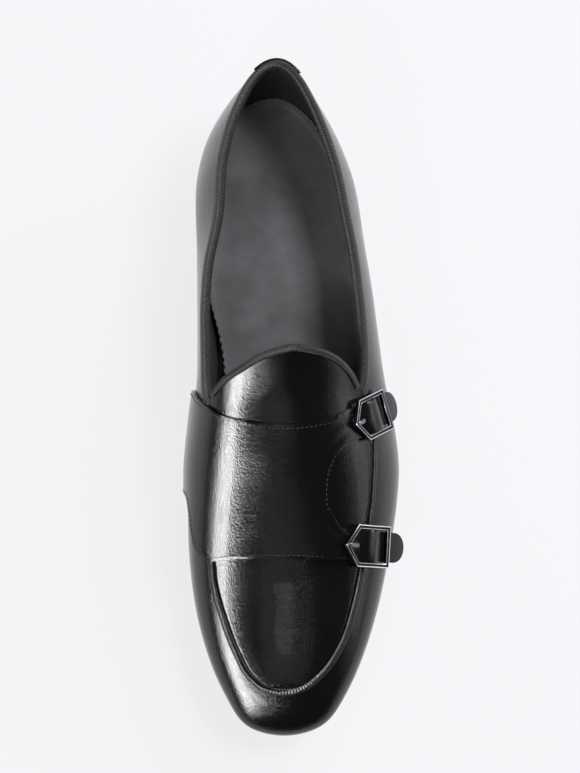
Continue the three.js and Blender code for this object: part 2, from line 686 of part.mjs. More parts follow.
const group = new THREE.Group();
pieces.push(
  ["outsole", outsole, "sole"],
  ["heel_stack", heelStack, "sole"],
  ["heel_top_piece", heelTopPiece, "rubber"],
  ["insole", insole, "insole"],
  ["upper", upper, "leather"],
  ["saddle", saddle, "leather"],
  ["apron_seam_toe", seamToe, "leather"],
  ["apron_seam_side", seamSide, "leather"],
  ["collar_binding", collarBinding, "ribbon"],
  ["tongue_binding", tongueBinding, "ribbon"],
  ["heel_tab", heelTab, "leather"],
);
for (const [name, solid, finish] of pieces) {
  const { numProp, vertProperties, triVerts } = solid.getMesh();
  const positions = [];
  for (let i = 0; i < vertProperties.length; i += numProp)
    positions.push(vertProperties[i], vertProperties[i + 1], vertProperties[i + 2]);
  const geometry = new THREE.BufferGeometry();
  geometry.setAttribute("position", new THREE.Float32BufferAttribute(positions, 3));
  geometry.setIndex(Array.from(triVerts));
  const mesh = new THREE.Mesh(geometry, new THREE.MeshStandardMaterial(finishes[finish]));
  mesh.name = name;
  group.add(mesh);
}

export default group;
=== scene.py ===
import bmesh
import bpy
import math
import numpy as np
from mathutils import Matrix, Vector


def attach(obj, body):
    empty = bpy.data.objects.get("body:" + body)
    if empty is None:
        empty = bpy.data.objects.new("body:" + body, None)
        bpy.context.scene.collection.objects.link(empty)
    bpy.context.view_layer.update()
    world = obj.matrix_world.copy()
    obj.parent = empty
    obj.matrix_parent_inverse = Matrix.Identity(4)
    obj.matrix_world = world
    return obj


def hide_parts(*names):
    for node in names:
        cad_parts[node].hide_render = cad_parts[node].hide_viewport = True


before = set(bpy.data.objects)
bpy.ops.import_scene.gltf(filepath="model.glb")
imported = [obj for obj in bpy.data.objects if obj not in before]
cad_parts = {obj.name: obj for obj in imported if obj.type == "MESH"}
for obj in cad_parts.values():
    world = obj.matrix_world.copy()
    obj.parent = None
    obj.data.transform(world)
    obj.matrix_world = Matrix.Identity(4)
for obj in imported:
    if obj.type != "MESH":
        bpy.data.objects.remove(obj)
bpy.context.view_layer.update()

# Camera
# The photograph looks down on the shoe from the toe side, about 15 degrees off the vertical, with
# a long lens from a metre away. Places are in metres in the shoe's frame.
IMAGE_HEIGHT_PX = 773
FOCAL_PX = 2310
SENSOR_HEIGHT = 36
EYE = Vector((-0.0470, -0.3849, 1.0442))
AIM = Vector((0.0045, -0.1135, 0.0400))
IMAGE_UP = Vector((0.0094, 0.9657, 0.2588))
lens_data = bpy.data.cameras.new("photo_camera")
lens_data.sensor_fit = "VERTICAL"
lens_data.sensor_height = SENSOR_HEIGHT
lens_data.lens = FOCAL_PX / IMAGE_HEIGHT_PX * SENSOR_HEIGHT
lens_data.clip_start = 0.01
camera = bpy.data.objects.new("photo_camera", lens_data)
bpy.context.scene.collection.objects.link(camera)
back = (EYE - AIM).normalized()
right = IMAGE_UP.cross(back).normalized()
camera_turn = Matrix((right, back.cross(right), back)).transposed().to_4x4()
camera.matrix_world = Matrix.Translation(EYE) @ camera_turn
bpy.context.scene.camera = camera


# Floor and light
# A white paper floor, lit through from below; a long soft box on the shoe's medial side, which
# only draws the band of light along saddle and toe; a light high on the lateral side for the
# inside, without a reflection; a narrow window in front for the tongue; a wide box behind the
# heel; a weak spot overhead and a weak fill on the lateral side.
def linear(hex_colour):
    """sRGB hex to linear RGBA: each channel c becomes ((c + 0.055) / 1.055) ** 2.4."""
    channels = [int(hex_colour[i : i + 2], 16) / 255 for i in (1, 3, 5)]
    return tuple(c / 12.92 if c <= 0.04045 else ((c + 0.055) / 1.055) ** 2.4 for c in channels) + (1.0,)


def add_node(tree, kind, links=None, **settings):
    """Adds a node: capitalised settings are input values, the others properties; links feed its inputs."""
    node = tree.nodes.new(kind)
    for name, value in settings.items():
        if name[0].isupper():
            node.inputs[name.replace("_", " ")].default_value = value
        else:
            setattr(node, name, value)
    for name, source in (links or {}).items():
        tree.links.new(source, node.inputs[name])
    return node


def new_material(name, colour, roughness, **settings):
    """A Principled material with its own colour and roughness; returns material, tree and shader."""
    material = bpy.data.materials.new(name)
    material.use_nodes = True
    tree = material.node_tree
    shader = tree.nodes["Principled BSDF"]
    shader.inputs["Base Color"].default_value = linear(colour)
    shader.inputs["Roughness"].default_value = roughness
    for socket, value in settings.items():
        shader.inputs[socket.replace("_", " ")].default_value = value
    return material, tree, shader


FLOOR_HALF = 3.0
floor_corners = [(x * FLOOR_HALF, y * FLOOR_HALF, 0) for x, y in ((-1, -1), (1, -1), (1, 1), (-1, 1))]
floor_mesh = bpy.data.meshes.new("paper_floor")
floor_mesh.from_pydata(floor_corners, [], [(0, 1, 2, 3)])
floor = bpy.data.objects.new("paper_floor", floor_mesh)
bpy.context.scene.collection.objects.link(floor)
paper_glow = {"Emission_Color": linear("#f6f6f8"), "Emission_Strength": 0.865}
paper = new_material("white_paper", "#545458", 0.9, Specular_IOR_Level=0.1, **paper_glow)[0]
floor_mesh.materials.append(paper)

world = bpy.data.worlds.new("studio")
bpy.context.scene.world = world
world.use_nodes = True
background = world.node_tree.nodes["Background"]
background.inputs["Color"].default_value = linear("#f0f2f6")
background.inputs["Strength"].default_value = 0.03


def soft_box(name, direction, distance, long_axis, length, width, power):
    """A rectangular area light in a direction from the shoe's middle, its long side along long_axis.

    Distance, length and width are in metres, the power in watts.
    """
    light = bpy.data.lights.new(name, "AREA")
    light.shape = "RECTANGLE"
    light.size = length
    light.size_y = width
    light.energy = power
    box = bpy.data.objects.new(name, light)
    bpy.context.scene.collection.objects.link(box)
    outward = Vector(direction).normalized()
    along = Vector(long_axis) - outward * Vector(long_axis).dot(outward)
    along.normalize()
    turned = Matrix((along, outward.cross(along), outward)).transposed().to_4x4()
    box.matrix_world = Matrix.Translation(MIDDLE + outward * distance) @ turned
    return box


MIDDLE = Vector((0.0, -0.15, 0.05))
medial_window = soft_box("medial_window", (-0.74, -0.42, 0.54), 1.6, (0.56, -0.83, 0), 1.3, 0.5, 56)
medial_window.visible_diffuse = False
inside_light = soft_box("inside_light", (0.42, 0.12, 0.9), 1.6, (1, 0, 0), 0.5, 0.5, 19)
inside_light.visible_glossy = False
soft_box("heel_side_box", (0.5, 0.72, 0.5), 1.8, (1, -0.3, 0), 2.2, 0.55, 36)
soft_box("front_window", (-0.36, -0.6, 0.72), 1.6, (0.86, -0.5, 0), 0.6, 0.14, 7)
soft_box("overhead_spot", (0.04, -0.2, 0.98), 1.6, (0, 1, 0), 0.34, 0.2, 0.7)
soft_box("lateral_fill", (0.95, 0.2, 0.28), 1.8, (0, 1, 0), 1.6, 0.5, 5)
bpy.context.scene.view_settings.view_transform = "Standard"

# Upper
# Black calf lasted over a slim loafer last: a wall round the foot, and inside the apron seam a
# plug that runs back into the tongue. Sizes in millimetres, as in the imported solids.
MM = 0.001
LENGTH = 301.0
BALL_WIDTH = 96.5
HEEL_REAR = 33.0
CONE_HEIGHT = 78.0
BULGE_HEIGHT = 13.5
FEATHER_TUCK = 4.5
BACK_LEAN = 5.0
BACK_RISE = 42.0
HEEL_HEIGHT = 17.0
SOLE_THICKNESS = 4.5
TOE_SPRING = 9.0
CLEARANCE = 0.3
COLLAR_BACK = 56.0
WALL = 2.0
OUTER_LEATHER = 1.4
LOWER_SHARE = 0.18  # share of a side's turn that lies under its widest place
# Sections of the last: share of the length, half widths as shares of the ball width, tucks,
# ridge and bulge as shares of their named sizes, and the exponents of the upper curves.
SECTIONS = {
    "at": [
        0, 0.049, 0.1, 0.148, 0.279, 0.335, 0.392, 0.465, 0.53,
        0.595, 0.657, 0.718, 0.811, 0.883, 0.94, 0.987, 1,
    ],
    "medial": [
        0, 0.255, 0.338, 0.374, 0.38, 0.381, 0.382, 0.388, 0.415,
        0.435, 0.435, 0.433, 0.402, 0.346, 0.272, 0.165, 0,
    ],
    "lateral": [
        0, 0.228, 0.316, 0.37, 0.428, 0.453, 0.475, 0.507, 0.549,
        0.566, 0.548, 0.513, 0.445, 0.369, 0.284, 0.164, 0,
    ],
    "tuck_medial": [0.8, 0.8, 0.8, 0.8, 1.35, 1.65, 2, 1.75, 1.35, 1.1, 1, 1, 1, 1, 1, 1, 1],
    "tuck_lateral": [0.8, 0.8, 0.8, 0.8, 1.1, 1.45, 1.65, 1.65, 1.35, 1.1, 1, 1, 1, 1, 1, 1, 1],
    "ridge": [
        1, 0.995, 0.987, 0.978, 0.95, 0.94, 0.925, 0.885, 0.81,
        0.73, 0.645, 0.573, 0.47, 0.39, 0.31, 0.19, 0.105,
    ],
    "bulge": [1, 1, 1, 1, 1.05, 1.1, 1.15, 1.1, 1, 1, 1, 1, 0.95, 0.9, 0.8, 0.65, 0.55],
    "square_medial": [
        1.5, 1.45, 1.45, 1.45, 1.6, 2.1, 2.6, 2.8, 2.5,
        2.35, 2.35, 2.3, 2.3, 2.3, 2.3, 2.3, 2.3,
    ],
    "square_lateral": [
        1.5, 1.45, 1.45, 1.45, 1.5, 1.56, 1.68, 1.8, 1.75,
        1.8, 1.9, 2, 2.2, 2.3, 2.3, 2.3, 2.3,
    ],
}


def smooth_curve(knots, values, x):
    """Cubic through (knots, values): each tangent weighs the two slopes beside it, and is flat at a turn."""
    knots, values = np.asarray(knots, float), np.asarray(values, float)
    gaps = np.diff(knots)
    slopes = np.diff(values) / gaps
    inner = (slopes[:-1] * gaps[1:] + slopes[1:] * gaps[:-1]) / (gaps[:-1] + gaps[1:])
    tangents = np.concatenate([slopes[:1], inner, slopes[-1:]])
    tangents[1:-1][slopes[:-1] * slopes[1:] < 0] = 0
    i = np.clip(np.searchsorted(knots, x) - 1, 0, len(gaps) - 1)
    t = (x - knots[i]) / gaps[i]
    return (
        (2 * t**3 - 3 * t**2 + 1) * values[i]
        + (t**3 - 2 * t**2 + t) * gaps[i] * tangents[i]
        + (3 * t**2 - 2 * t**3) * values[i + 1]
        + (t**3 - t**2) * gaps[i] * tangents[i + 1]
    )


def station_of(at):
    """Station angle as a share: stations crowd at both ends of the shoe."""
    return np.arccos(1 - 2 * np.clip(at, 0, 1)) / np.pi


def share_of(station):
    """Share of the length at a station, (1 - cos(pi station)) / 2: the inverse of station_of."""
    return (1 - np.cos(np.pi * station)) / 2


STATIONS = station_of(np.array(SECTIONS["at"], float))


def section(name, station):
    """A column of the section table at any station."""
    return smooth_curve(STATIONS, SECTIONS[name], station)


def side_section(name, station, lateral):
    """A pair of columns of the section table, each used on its own side."""
    return np.where(lateral, section(name + "lateral", station), section(name + "medial", station))


def smooth_step(x, start, end):
    """Rises from 0 at start to 1 at end as t**2 (3 - 2 t)."""
    t = np.clip((x - start) / (end - start), 0, 1)
    return t**2 * (3 - 2 * t)


HEEL_CLIMB_END = 0.26  # the sole climbs to the heel between these two shares of the length
HEEL_CLIMB_START = 0.54
TOE_SPRING_START = 0.72


def sole_underside(at):
    """Height of the sole over the floor: flat at the ball, smooth steps up to the heel and the toe."""
    climb = smooth_step(at, HEEL_CLIMB_START, HEEL_CLIMB_END)
    spring = np.clip((at - TOE_SPRING_START) / (1 - TOE_SPRING_START), 0, 1) ** 1.8
    return (HEEL_HEIGHT + CLEARANCE) * climb + TOE_SPRING * spring


def feather_height(at):
    """Height of the edge where the upper meets the sole."""
    return sole_underside(at) + SOLE_THICKNESS + CLEARANCE


HEEL_SEAT = float(feather_height(np.array(0.0)))


def widest(station, lateral):
    """Widest outline of one side from above: half width, way along, and its outward direction."""
    width = lambda t: side_section("", t, lateral) * BALL_WIDTH
    before, after = np.clip(station - 1e-3, 0, 1), np.clip(station + 1e-3, 0, 1)
    along = LENGTH * (share_of(after) - share_of(before))
    rise = width(after) - width(before)
    size = np.hypot(along, rise)
    return width(station), LENGTH * share_of(station), along / size, -rise / size


def last(station, turn):
    """The last's surface. Turn runs from the lateral feather line, 0, over the ridge, 0.5, to the medial, 1.

    Under the widest place the wall draws in as a parabola. Over it the section is a superellipse, and
    the heel's back leans forward with height.
    """
    at = share_of(station)
    lateral = turn < 0.5
    near = np.where(lateral, turn, 1 - turn)
    low = feather_height(at)
    top = low + CONE_HEIGHT * section("ridge", station)
    mid = np.minimum(low + BULGE_HEIGHT * section("bulge", station), top - 1)
    x, along, out_x, out_along = widest(station, lateral)
    tuck = FEATHER_TUCK * side_section("tuck_", station, lateral)
    power = 2 / side_section("square_", station, lateral)
    under = np.clip(1 - near / LOWER_SHARE, 0, None)
    arch = np.clip((near - LOWER_SHARE) / (0.5 - LOWER_SHARE), 0, 1) * np.pi / 2
    below = near < LOWER_SHARE
    width = np.where(below, x - tuck * under**2 * out_x, x * np.abs(np.cos(arch)) ** power)
    along = np.where(below, along - tuck * under**2 * out_along, along)
    z = np.where(below, mid - (mid - low) * under, mid + (top - mid) * np.sin(arch) ** power)
    up = np.clip((z - mid) / BACK_RISE, 0, 1.2)
    along = along + BACK_LEAN * up**1.6 * np.clip(1 - at / 0.3, 0, 1) ** 2
    return np.stack([np.where(lateral, width, -width), HEEL_REAR - along, z], -1)


def unit(vectors):
    """Vectors scaled to length one."""
    return vectors / (np.linalg.norm(vectors, axis=-1, keepdims=True) + 1e-12)


STEP = 2e-3  # of station and turn, for directions on the last


def on_last(at, turn, offset=0.0):
    """Points of the last moved out by offset along its normal, and the normals.

    The normal is the cross product of the steps over the last and along it.
    """
    at, turn, offset = (values.astype(float) for values in np.broadcast_arrays(at, turn, offset))
    station = station_of(at)
    inside = lambda t: np.clip(t, 5e-4, 1 - 5e-4)
    forward = last(inside(station + STEP), turn) - last(inside(station - STEP), turn)
    over = last(station, np.clip(turn + STEP, 0, 1)) - last(station, np.clip(turn - STEP, 0, 1))
    normal = unit(np.cross(over, forward))
    return last(station, turn) + offset[..., None] * normal, normal


def turn_over(at, across):
    """Turn of the point that lies at share across of the ball width, seen from above."""
    station = station_of(at)
    lateral = across >= 0
    ratio = np.clip(np.abs(across) / np.maximum(side_section("", station, lateral), 1e-6), 0, 1)
    power = side_section("square_", station, lateral) / 2
    near = LOWER_SHARE + np.arccos(ratio**power) * 2 / np.pi * (0.5 - LOWER_SHARE)
    return np.where(lateral, near, 1 - near)


COLLAR_AT = [-0.1, 0.02, 0.06, 0.1, 0.15, 0.2, 0.25, 0.3, 0.36, 0.42, 0.48, 0.54]
COLLAR_SHARE = [1.01, 0.998, 0.97, 0.925, 0.866, 0.807, 0.76, 0.725, 0.688, 0.635, 0.586, 0.565]


def halve(shape, low, high, short, rounds):
    """Value up to which short, a test of an array of that shape, holds between low and high."""
    low, high = np.full(shape, low), np.full(shape, high)
    for _ in range(rounds):
        middle = (low + high) / 2
        held = short(middle)
        low, high = np.where(held, middle, low), np.where(held, high, middle)
    return middle


def collar_turn(at, lateral):
    """Turn at which a section crosses the collar line, found by halving."""
    goal = HEEL_SEAT + COLLAR_BACK * smooth_curve(COLLAR_AT, COLLAR_SHARE, at)
    own_side = lambda turn: turn if lateral else 1 - turn
    short = lambda turn: last(station_of(at), own_side(turn))[..., 2] < goal
    return own_side(halve(at.shape, LOWER_SHARE, 0.5, short, 40))


def along_lengths(points):
    """Running length along a line of points."""
    return np.concatenate([[0], np.cumsum(np.linalg.norm(np.diff(points, axis=0), axis=1))])


def smooth_line(rows, second_mm, count):
    """Evenly spaced points through rows of a share of the length and a value worth second_mm to the unit."""
    rows = np.asarray(rows, float)
    far = along_lengths(rows * [LENGTH, second_mm])
    t = np.linspace(0, far[-1], count)
    return smooth_curve(far, rows[:, 0], t), smooth_curve(far, rows[:, 1], t)


def plan_curve(rows, count=400):
    """Smooth curve through (share of length, share of the ball width across) rows, as two columns."""
    return smooth_line(rows, BALL_WIDTH, count)


# Lines seen from above: share of the length, share of the ball width across
TONGUE_EDGE = [
    (0.513, -0.332), (0.499, -0.281), (0.485, -0.191), (0.471, -0.099), (0.463, -0.009), (0.459, 0.06),
    (0.461, 0.128), (0.465, 0.22), (0.471, 0.268), (0.483, 0.318), (0.504, 0.363),
]
SEAM_LATERAL = [
    (0.504, 0.363), (0.535, 0.4), (0.575, 0.427), (0.603, 0.428), (0.632, 0.424), (0.66, 0.417),
    (0.697, 0.399), (0.735, 0.376), (0.785, 0.345), (0.821, 0.316), (0.871, 0.259), (0.912, 0.171),
    (0.936, 0.072), (0.941, 0),
]
SEAM_MEDIAL = [
    (0.513, -0.332), (0.57, -0.352), (0.64, -0.355), (0.7, -0.345), (0.7525, -0.329), (0.78, -0.321),
    (0.831, -0.28), (0.879, -0.226), (0.919, -0.156), (0.936, -0.085), (0.941, 0),
]
TONGUE_APEX = 0.459
SEAM_TIP = 0.941
SEAM_ROWS = {True: SEAM_LATERAL, False: SEAM_MEDIAL}  # by "is it the lateral side"
THROAT = {lateral: rows[0][0] for lateral, rows in SEAM_ROWS.items()}
seam_line = {lateral: plan_curve(rows) for lateral, rows in SEAM_ROWS.items()}
tongue_at, tongue_across = plan_curve(TONGUE_EDGE)
apex = int(np.argmin(tongue_at))


def seam_turn(at, lateral):
    """Turn of the apron seam on one side; in front of the seam's tip it is the ridge."""
    line_at, line_across = seam_line[lateral]
    across = np.interp(at, np.maximum.accumulate(line_at), line_across)
    across = np.maximum(across, 0) if lateral else np.minimum(across, -1e-9)
    return np.where(at < SEAM_TIP, turn_over(at, across), 0.5)


def wall_top(at, lateral):
    """Top edge of the wall: the collar line behind the throat's corner, the apron seam in front of it."""
    return np.where(at < THROAT[lateral], collar_turn(at, lateral), seam_turn(at, lateral))


def grid_faces(rows, columns, start=0):
    """Quads of a grid of points stored row by row."""
    index = start + np.arange(rows * columns).reshape(rows, columns)
    return np.stack([index[:-1, :-1], index[1:, :-1], index[1:, 1:], index[:-1, 1:]], -1).reshape(-1, 4)


def put(name, mesh, nodes=()):
    """Links a mesh as a smooth piece of the shoe, which replaces the named nodes."""
    mesh.polygons.foreach_set("use_smooth", np.full(len(mesh.polygons), True))
    piece = bpy.data.objects.new(name, mesh)
    bpy.context.scene.collection.objects.link(piece)
    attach(piece, "root")
    if nodes:
        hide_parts(*nodes)
    return piece


def make_piece(name, sheets, material, nodes=(), merge=0.01, flip=False):
    """One piece from grids of points in millimetres, with the edges that they share merged."""
    verts, faces, start = [], [], 0
    for points in sheets:
        rows, columns = points.shape[:2]
        verts.append(points.reshape(-1, 3))
        faces.append(grid_faces(rows, columns, start))
        start += rows * columns
    verts, faces = np.concatenate(verts) * MM, np.concatenate(faces)
    if flip:
        faces = faces[:, ::-1]
    mesh = bpy.data.meshes.new(name)
    mesh.from_pydata(verts.tolist(), [], faces.tolist())
    work = bmesh.new()
    work.from_mesh(mesh)
    bmesh.ops.remove_doubles(work, verts=work.verts, dist=merge * MM)
    bmesh.ops.dissolve_degenerate(work, edges=work.edges, dist=1e-7)
    work.to_mesh(mesh)
    work.free()
    mesh.materials.append(material)
    return put(name, mesh, nodes)


def round_edges(piece, width, degrees, segments=3):
    """Rounds the edges that turn by more than the degrees, over a width in millimetres."""
    rounded = piece.modifiers.new("rounded_edge", "BEVEL")
    rounded.width = width * MM
    rounded.segments = segments
    rounded.limit_method = "ANGLE"
    rounded.angle_limit = math.radians(degrees)


def thicken(piece, thickness, outward=False, bevel=0.0):
    """Gives a sheet its real thickness in millimetres, inward or outward, with rounded edges."""
    solid = piece.modifiers.new("thickness", "SOLIDIFY")
    solid.thickness = thickness * MM
    solid.offset = 1 if outward else -1
    solid.use_even_offset = False
    if bevel:
        round_edges(piece, bevel, 50)


# Polished calf: a tight fine grain under wax polish, so a soft but bright highlight with a
# slightly broken edge.
polish = {"Specular_IOR_Level": 0.45, "Coat_Weight": 0.2, "Coat_Roughness": 0.12}
calf, calf_tree, calf_shader = new_material("polished_black_calf", "#0b0b0d", 0.18, **polish)
calf_place = {"Vector": add_node(calf_tree, "ShaderNodeTexCoord").outputs["Object"]}
GRAIN_PER_M = 1400  # pores about 0.7 mm apart, drawn as coarse as they show
pores = add_node(calf_tree, "ShaderNodeTexVoronoi", calf_place, Scale=GRAIN_PER_M, feature="F1")
clouds = add_node(calf_tree, "ShaderNodeTexNoise", calf_place, Scale=70.0, Detail=5.0, Roughness=0.6)
pore_links = {"Height": pores.outputs["Distance"]}
pore_bump = add_node(calf_tree, "ShaderNodeBump", pore_links, Strength=0.3, Distance=0.0003)
cloud_links = {"Height": clouds.outputs["Fac"], "Normal": pore_bump.outputs["Normal"]}
cloud_bump = add_node(calf_tree, "ShaderNodeBump", cloud_links, Strength=0.018, Distance=0.0012)
calf_tree.links.new(cloud_bump.outputs["Normal"], calf_shader.inputs["Normal"])
sheen = add_node(calf_tree, "ShaderNodeMapRange", {"Value": clouds.outputs["Fac"]}, To_Min=0.13, To_Max=0.24)
calf_tree.links.new(sheen.outputs["Result"], calf_shader.inputs["Roughness"])

WALL_ROWS = 380
WALL_COLUMNS = 56
rows_at = share_of(np.linspace(0.0, 1.0, WALL_ROWS))
near_tip = SEAM_TIP - 0.03 * np.linspace(0, 1, 24) ** 2  # more rows where the seam closes
rows_at = np.unique(np.concatenate([rows_at, near_tip]))
share = np.linspace(0, 1, WALL_COLUMNS)
lateral_turns = wall_top(rows_at, True)[:, None] * share
medial_turns = 1 - (1 - wall_top(rows_at, False))[:, None] * share
wall_lateral = on_last(rows_at[:, None], lateral_turns)[0]
wall_medial = on_last(rows_at[:, None], medial_turns)[0][:, ::-1]
wall = make_piece("upper_wall", [wall_lateral, wall_medial], calf, ["upper"], flip=True)
thicken(wall, OUTER_LEATHER)

PLUG_ROWS = 260
PLUG_COLUMNS = 110  # they crowd towards both edges
plug_at = TONGUE_APEX + (SEAM_TIP - TONGUE_APEX) * share_of(np.linspace(0, 1, PLUG_ROWS))


def plug_edge(lateral):
    """Turn of the plug's edge on one side: the tongue's edge behind the throat, the seam in front of it."""
    part = slice(apex, None) if lateral else slice(apex, None, -1)
    across = np.interp(plug_at, np.maximum.accumulate(tongue_at[part]), tongue_across[part])
    return np.where(plug_at < THROAT[lateral], turn_over(plug_at, across), seam_turn(plug_at, lateral))


plug_lateral, plug_medial = plug_edge(True), plug_edge(False)
plug_share = share_of(np.linspace(0, 1, PLUG_COLUMNS))
plug_turns = plug_lateral[:, None] + (plug_medial - plug_lateral)[:, None] * plug_share
plug_flat = on_last(plug_at[:, None], plug_turns)[0]
plug_width = np.linalg.norm(plug_flat[:, -1] - plug_flat[:, 0], axis=-1)[:, None]
# The plug dips beside its seam, deeper at every stitch of the seam's inner row
GROOVE_DEPTH = 0.5
GROOVE_AWAY = 1.6
GROOVE_WIDTH = 0.6
INNER_STITCH_PITCH = 2.6
edge_distance = np.minimum(plug_share, 1 - plug_share) * plug_width
edge_distance = np.minimum(edge_distance, (SEAM_TIP - plug_at[:, None]) * LENGTH)
dimple = 0.75 + 0.25 * np.cos(2 * np.pi * plug_flat[..., 1] / INNER_STITCH_PITCH)
groove = -GROOVE_DEPTH * dimple * np.exp(-(((edge_distance - GROOVE_AWAY) / GROOVE_WIDTH) ** 2))
SEAM_SHOWS_FROM = 0.53
relief = groove * np.clip((plug_at[:, None] - SEAM_SHOWS_FROM) / 0.02, 0, 1)
# Wearing creases in front of the saddle: share of the length, share across, depth in
# millimetres, a ridge when negative, lean of the line, half its length and half its width
PLUG_CREASES = [
    (0.79, 0.03, 0.2, 0.1, 15.0, 5.5),
    (0.812, 0.06, -0.12, 0.08, 13.0, 5.0),
    (0.862, 0.02, 0.18, -0.08, 12.0, 5.0),
    (0.882, 0.0, -0.1, -0.08, 10.0, 4.5),
]
for at, across, depth, lean, half_length, half_width in PLUG_CREASES:
    aside = plug_flat[..., 0] - across * BALL_WIDTH
    along_crease = plug_flat[..., 1] - (HEEL_REAR - at * LENGTH) - lean * aside
    relief = relief - depth * np.exp(-((aside / half_length) ** 2) - (along_crease / half_width) ** 2)
plug_sheet = on_last(plug_at[:, None], plug_turns, relief)[0]
plug = make_piece("plug_and_tongue", [plug_sheet], calf, ["upper"], flip=True)
thicken(plug, OUTER_LEATHER)

# Lining
# Grey-black goat skin cemented inside the wall, from the feather line to the collar and under the
# tongue.
def add_grain(tree, shader, scale, detail, strength, depth):
    """Noise in relief, scale in cells per metre, depth in metres; returns the place that it is read at."""
    place = add_node(tree, "ShaderNodeTexCoord").outputs["Object"]
    noise = add_node(tree, "ShaderNodeTexNoise", {"Vector": place}, Scale=scale, Detail=detail)
    relief_links = {"Height": noise.outputs["Fac"]}
    bump = add_node(tree, "ShaderNodeBump", relief_links, Strength=strength, Distance=depth)
    tree.links.new(bump.outputs["Normal"], shader.inputs["Normal"])
    return place


lining_skin, lining_tree, lining_shader = new_material("grey_black_lining_skin", "#2e2e30", 0.6)
add_grain(lining_tree, lining_shader, 900.0, 3.0, 0.15, 0.0003)
LINING_GAP = 0.05
lining_thickness = WALL - OUTER_LEATHER - LINING_GAP
lining_offset = -(OUTER_LEATHER + LINING_GAP)
lining_rows = slice(0, None, 2)
lining_lateral, lining_medial = (
    on_last(rows_at[lining_rows, None], turns[lining_rows, ::3], lining_offset)[0]
    for turns in (lateral_turns, medial_turns)
)
quarter_sheets = [lining_lateral, lining_medial[:, ::-1]]
thicken(make_piece("quarter_lining", quarter_sheets, lining_skin, flip=True), lining_thickness)
tongue_sheet = on_last(plug_at[:, None], plug_turns[:, ::3], lining_offset + relief[:, ::3])[0]
thicken(make_piece("tongue_lining", [tongue_sheet], lining_skin, flip=True), lining_thickness)

# Saddle
# The wide strap of the same calf over the instep, one cut piece that forks round the D into the two
# monk straps. Each strap runs under its buckle's point, over the bar and under the straight side.
SADDLE_THICKNESS = 1.6
BUCKLE_LIFT = 2.0
BUCKLE_THICKNESS = 1.8
BAR_THICKNESS = 1.2
BUCKLE_REAR = 10.6
BUCKLE_BAND = 1.9
STRAP_WIDTH = 13.4
STRAP_TIP = 21.0
JOINT_AT = -12.0  # where a strap leaves the last's surface, in front of its bar
# Edges on the last: share of the length, turn
SADDLE_REAR_EDGE = [
    (0.465, 0.93), (0.482, 0.806), (0.511, 0.724), (0.53, 0.671),
    (0.543, 0.637), (0.556, 0.582), (0.563, 0.539), (0.567, 0.496),
]
SADDLE_FRONT_EDGE = [
    (0.622, 0.93), (0.632, 0.83), (0.647, 0.775), (0.67, 0.757), (0.7, 0.745),
    (0.732, 0.722), (0.747, 0.685), (0.75, 0.593), (0.752, 0.528), (0.753, 0.476),
]
UPPER_STRAP_REAR = [(0.567, 0.496), (0.563, 0.447), (0.555, 0.409)]
CUT_OUT_UPPER = [
    (0.65, 0.4195), (0.638, 0.418), (0.62, 0.411), (0.605, 0.401), (0.594, 0.389), (0.584, 0.374),
]
CUT_OUT_LOWER = [(0.65, 0.4195), (0.66, 0.42), (0.681, 0.417), (0.694, 0.409), (0.705, 0.397)]
LOWER_STRAP_FRONT = [(0.753, 0.476), (0.7545, 0.418)]
TURN_MM = 150.0  # about this many millimetres of surface to a whole turn
BUCKLES = {"upper": (0.541, 0.325, 27.0), "lower": (0.73, 0.325, 3.0)}  # share, turn, lean in degrees


def resample(rows, count):
    """Smooth curve through (share of length, turn) rows, as evenly spaced points."""
    return np.stack(smooth_line(rows, TURN_MM, count), -1)


def coons(bottom, top, left, right):
    """Patch between four curves: blends bottom with top and left with right, less the corners' blend."""
    u = np.linspace(0, 1, len(bottom))[None, :, None]
    v = np.linspace(0, 1, len(left))[:, None, None]
    corners = (1 - v) * ((1 - u) * bottom[0] + u * bottom[-1]) + v * ((1 - u) * top[0] + u * top[-1])
    return (1 - v) * bottom[None] + v * top[None] + (1 - u) * left[:, None] + u * right[:, None] - corners


def buckle_frame_at(at, turn, degrees):
    """A buckle's own frame: where its bar lies, and the directions out, across and off the upper."""
    centre, normal = on_last(at, turn)
    over = unit(last(station_of(at), np.array(turn + STEP)) - last(station_of(at), np.array(turn - STEP)))
    heelward = unit(np.cross(normal, -over))
    heelward = heelward * np.sign(heelward[1])
    angle = np.radians(degrees)
    out = -over * np.cos(angle) + heelward * np.sin(angle)
    return centre, np.stack([out, np.cross(normal, out), normal])


def local_to_last(place, basis, start, out, across):
    """Place on the last (share of length, turn) that lies under each local point.

    It is found by Newton steps, shortened so that they don't leave the last.
    """
    station = np.full(out.shape, float(station_of(start[0])))
    turn = np.full(out.shape, float(start[1]))
    goal = np.stack([out, across], -1)
    miss = lambda s, t: np.einsum("...k,jk->...j", last(s, t) - place, basis[:2]) - goal
    determinant = lambda a, b: a[..., 0] * b[..., 1] - a[..., 1] * b[..., 0]
    small, shortened = 1e-4, 0.6
    for _ in range(40):
        here = miss(station, turn)
        by_station = (miss(station + small, turn) - here) / small
        by_turn = (miss(station, turn + small) - here) / small
        size = determinant(by_station, by_turn)
        station = station - shortened * determinant(here, by_turn) / size
        turn = turn - shortened * determinant(by_station, here) / size
    return share_of(station), turn


over_bar = BUCKLE_LIFT + BAR_THICKNESS + CLEARANCE
under_side = BUCKLE_LIFT - CLEARANCE - SADDLE_THICKNESS
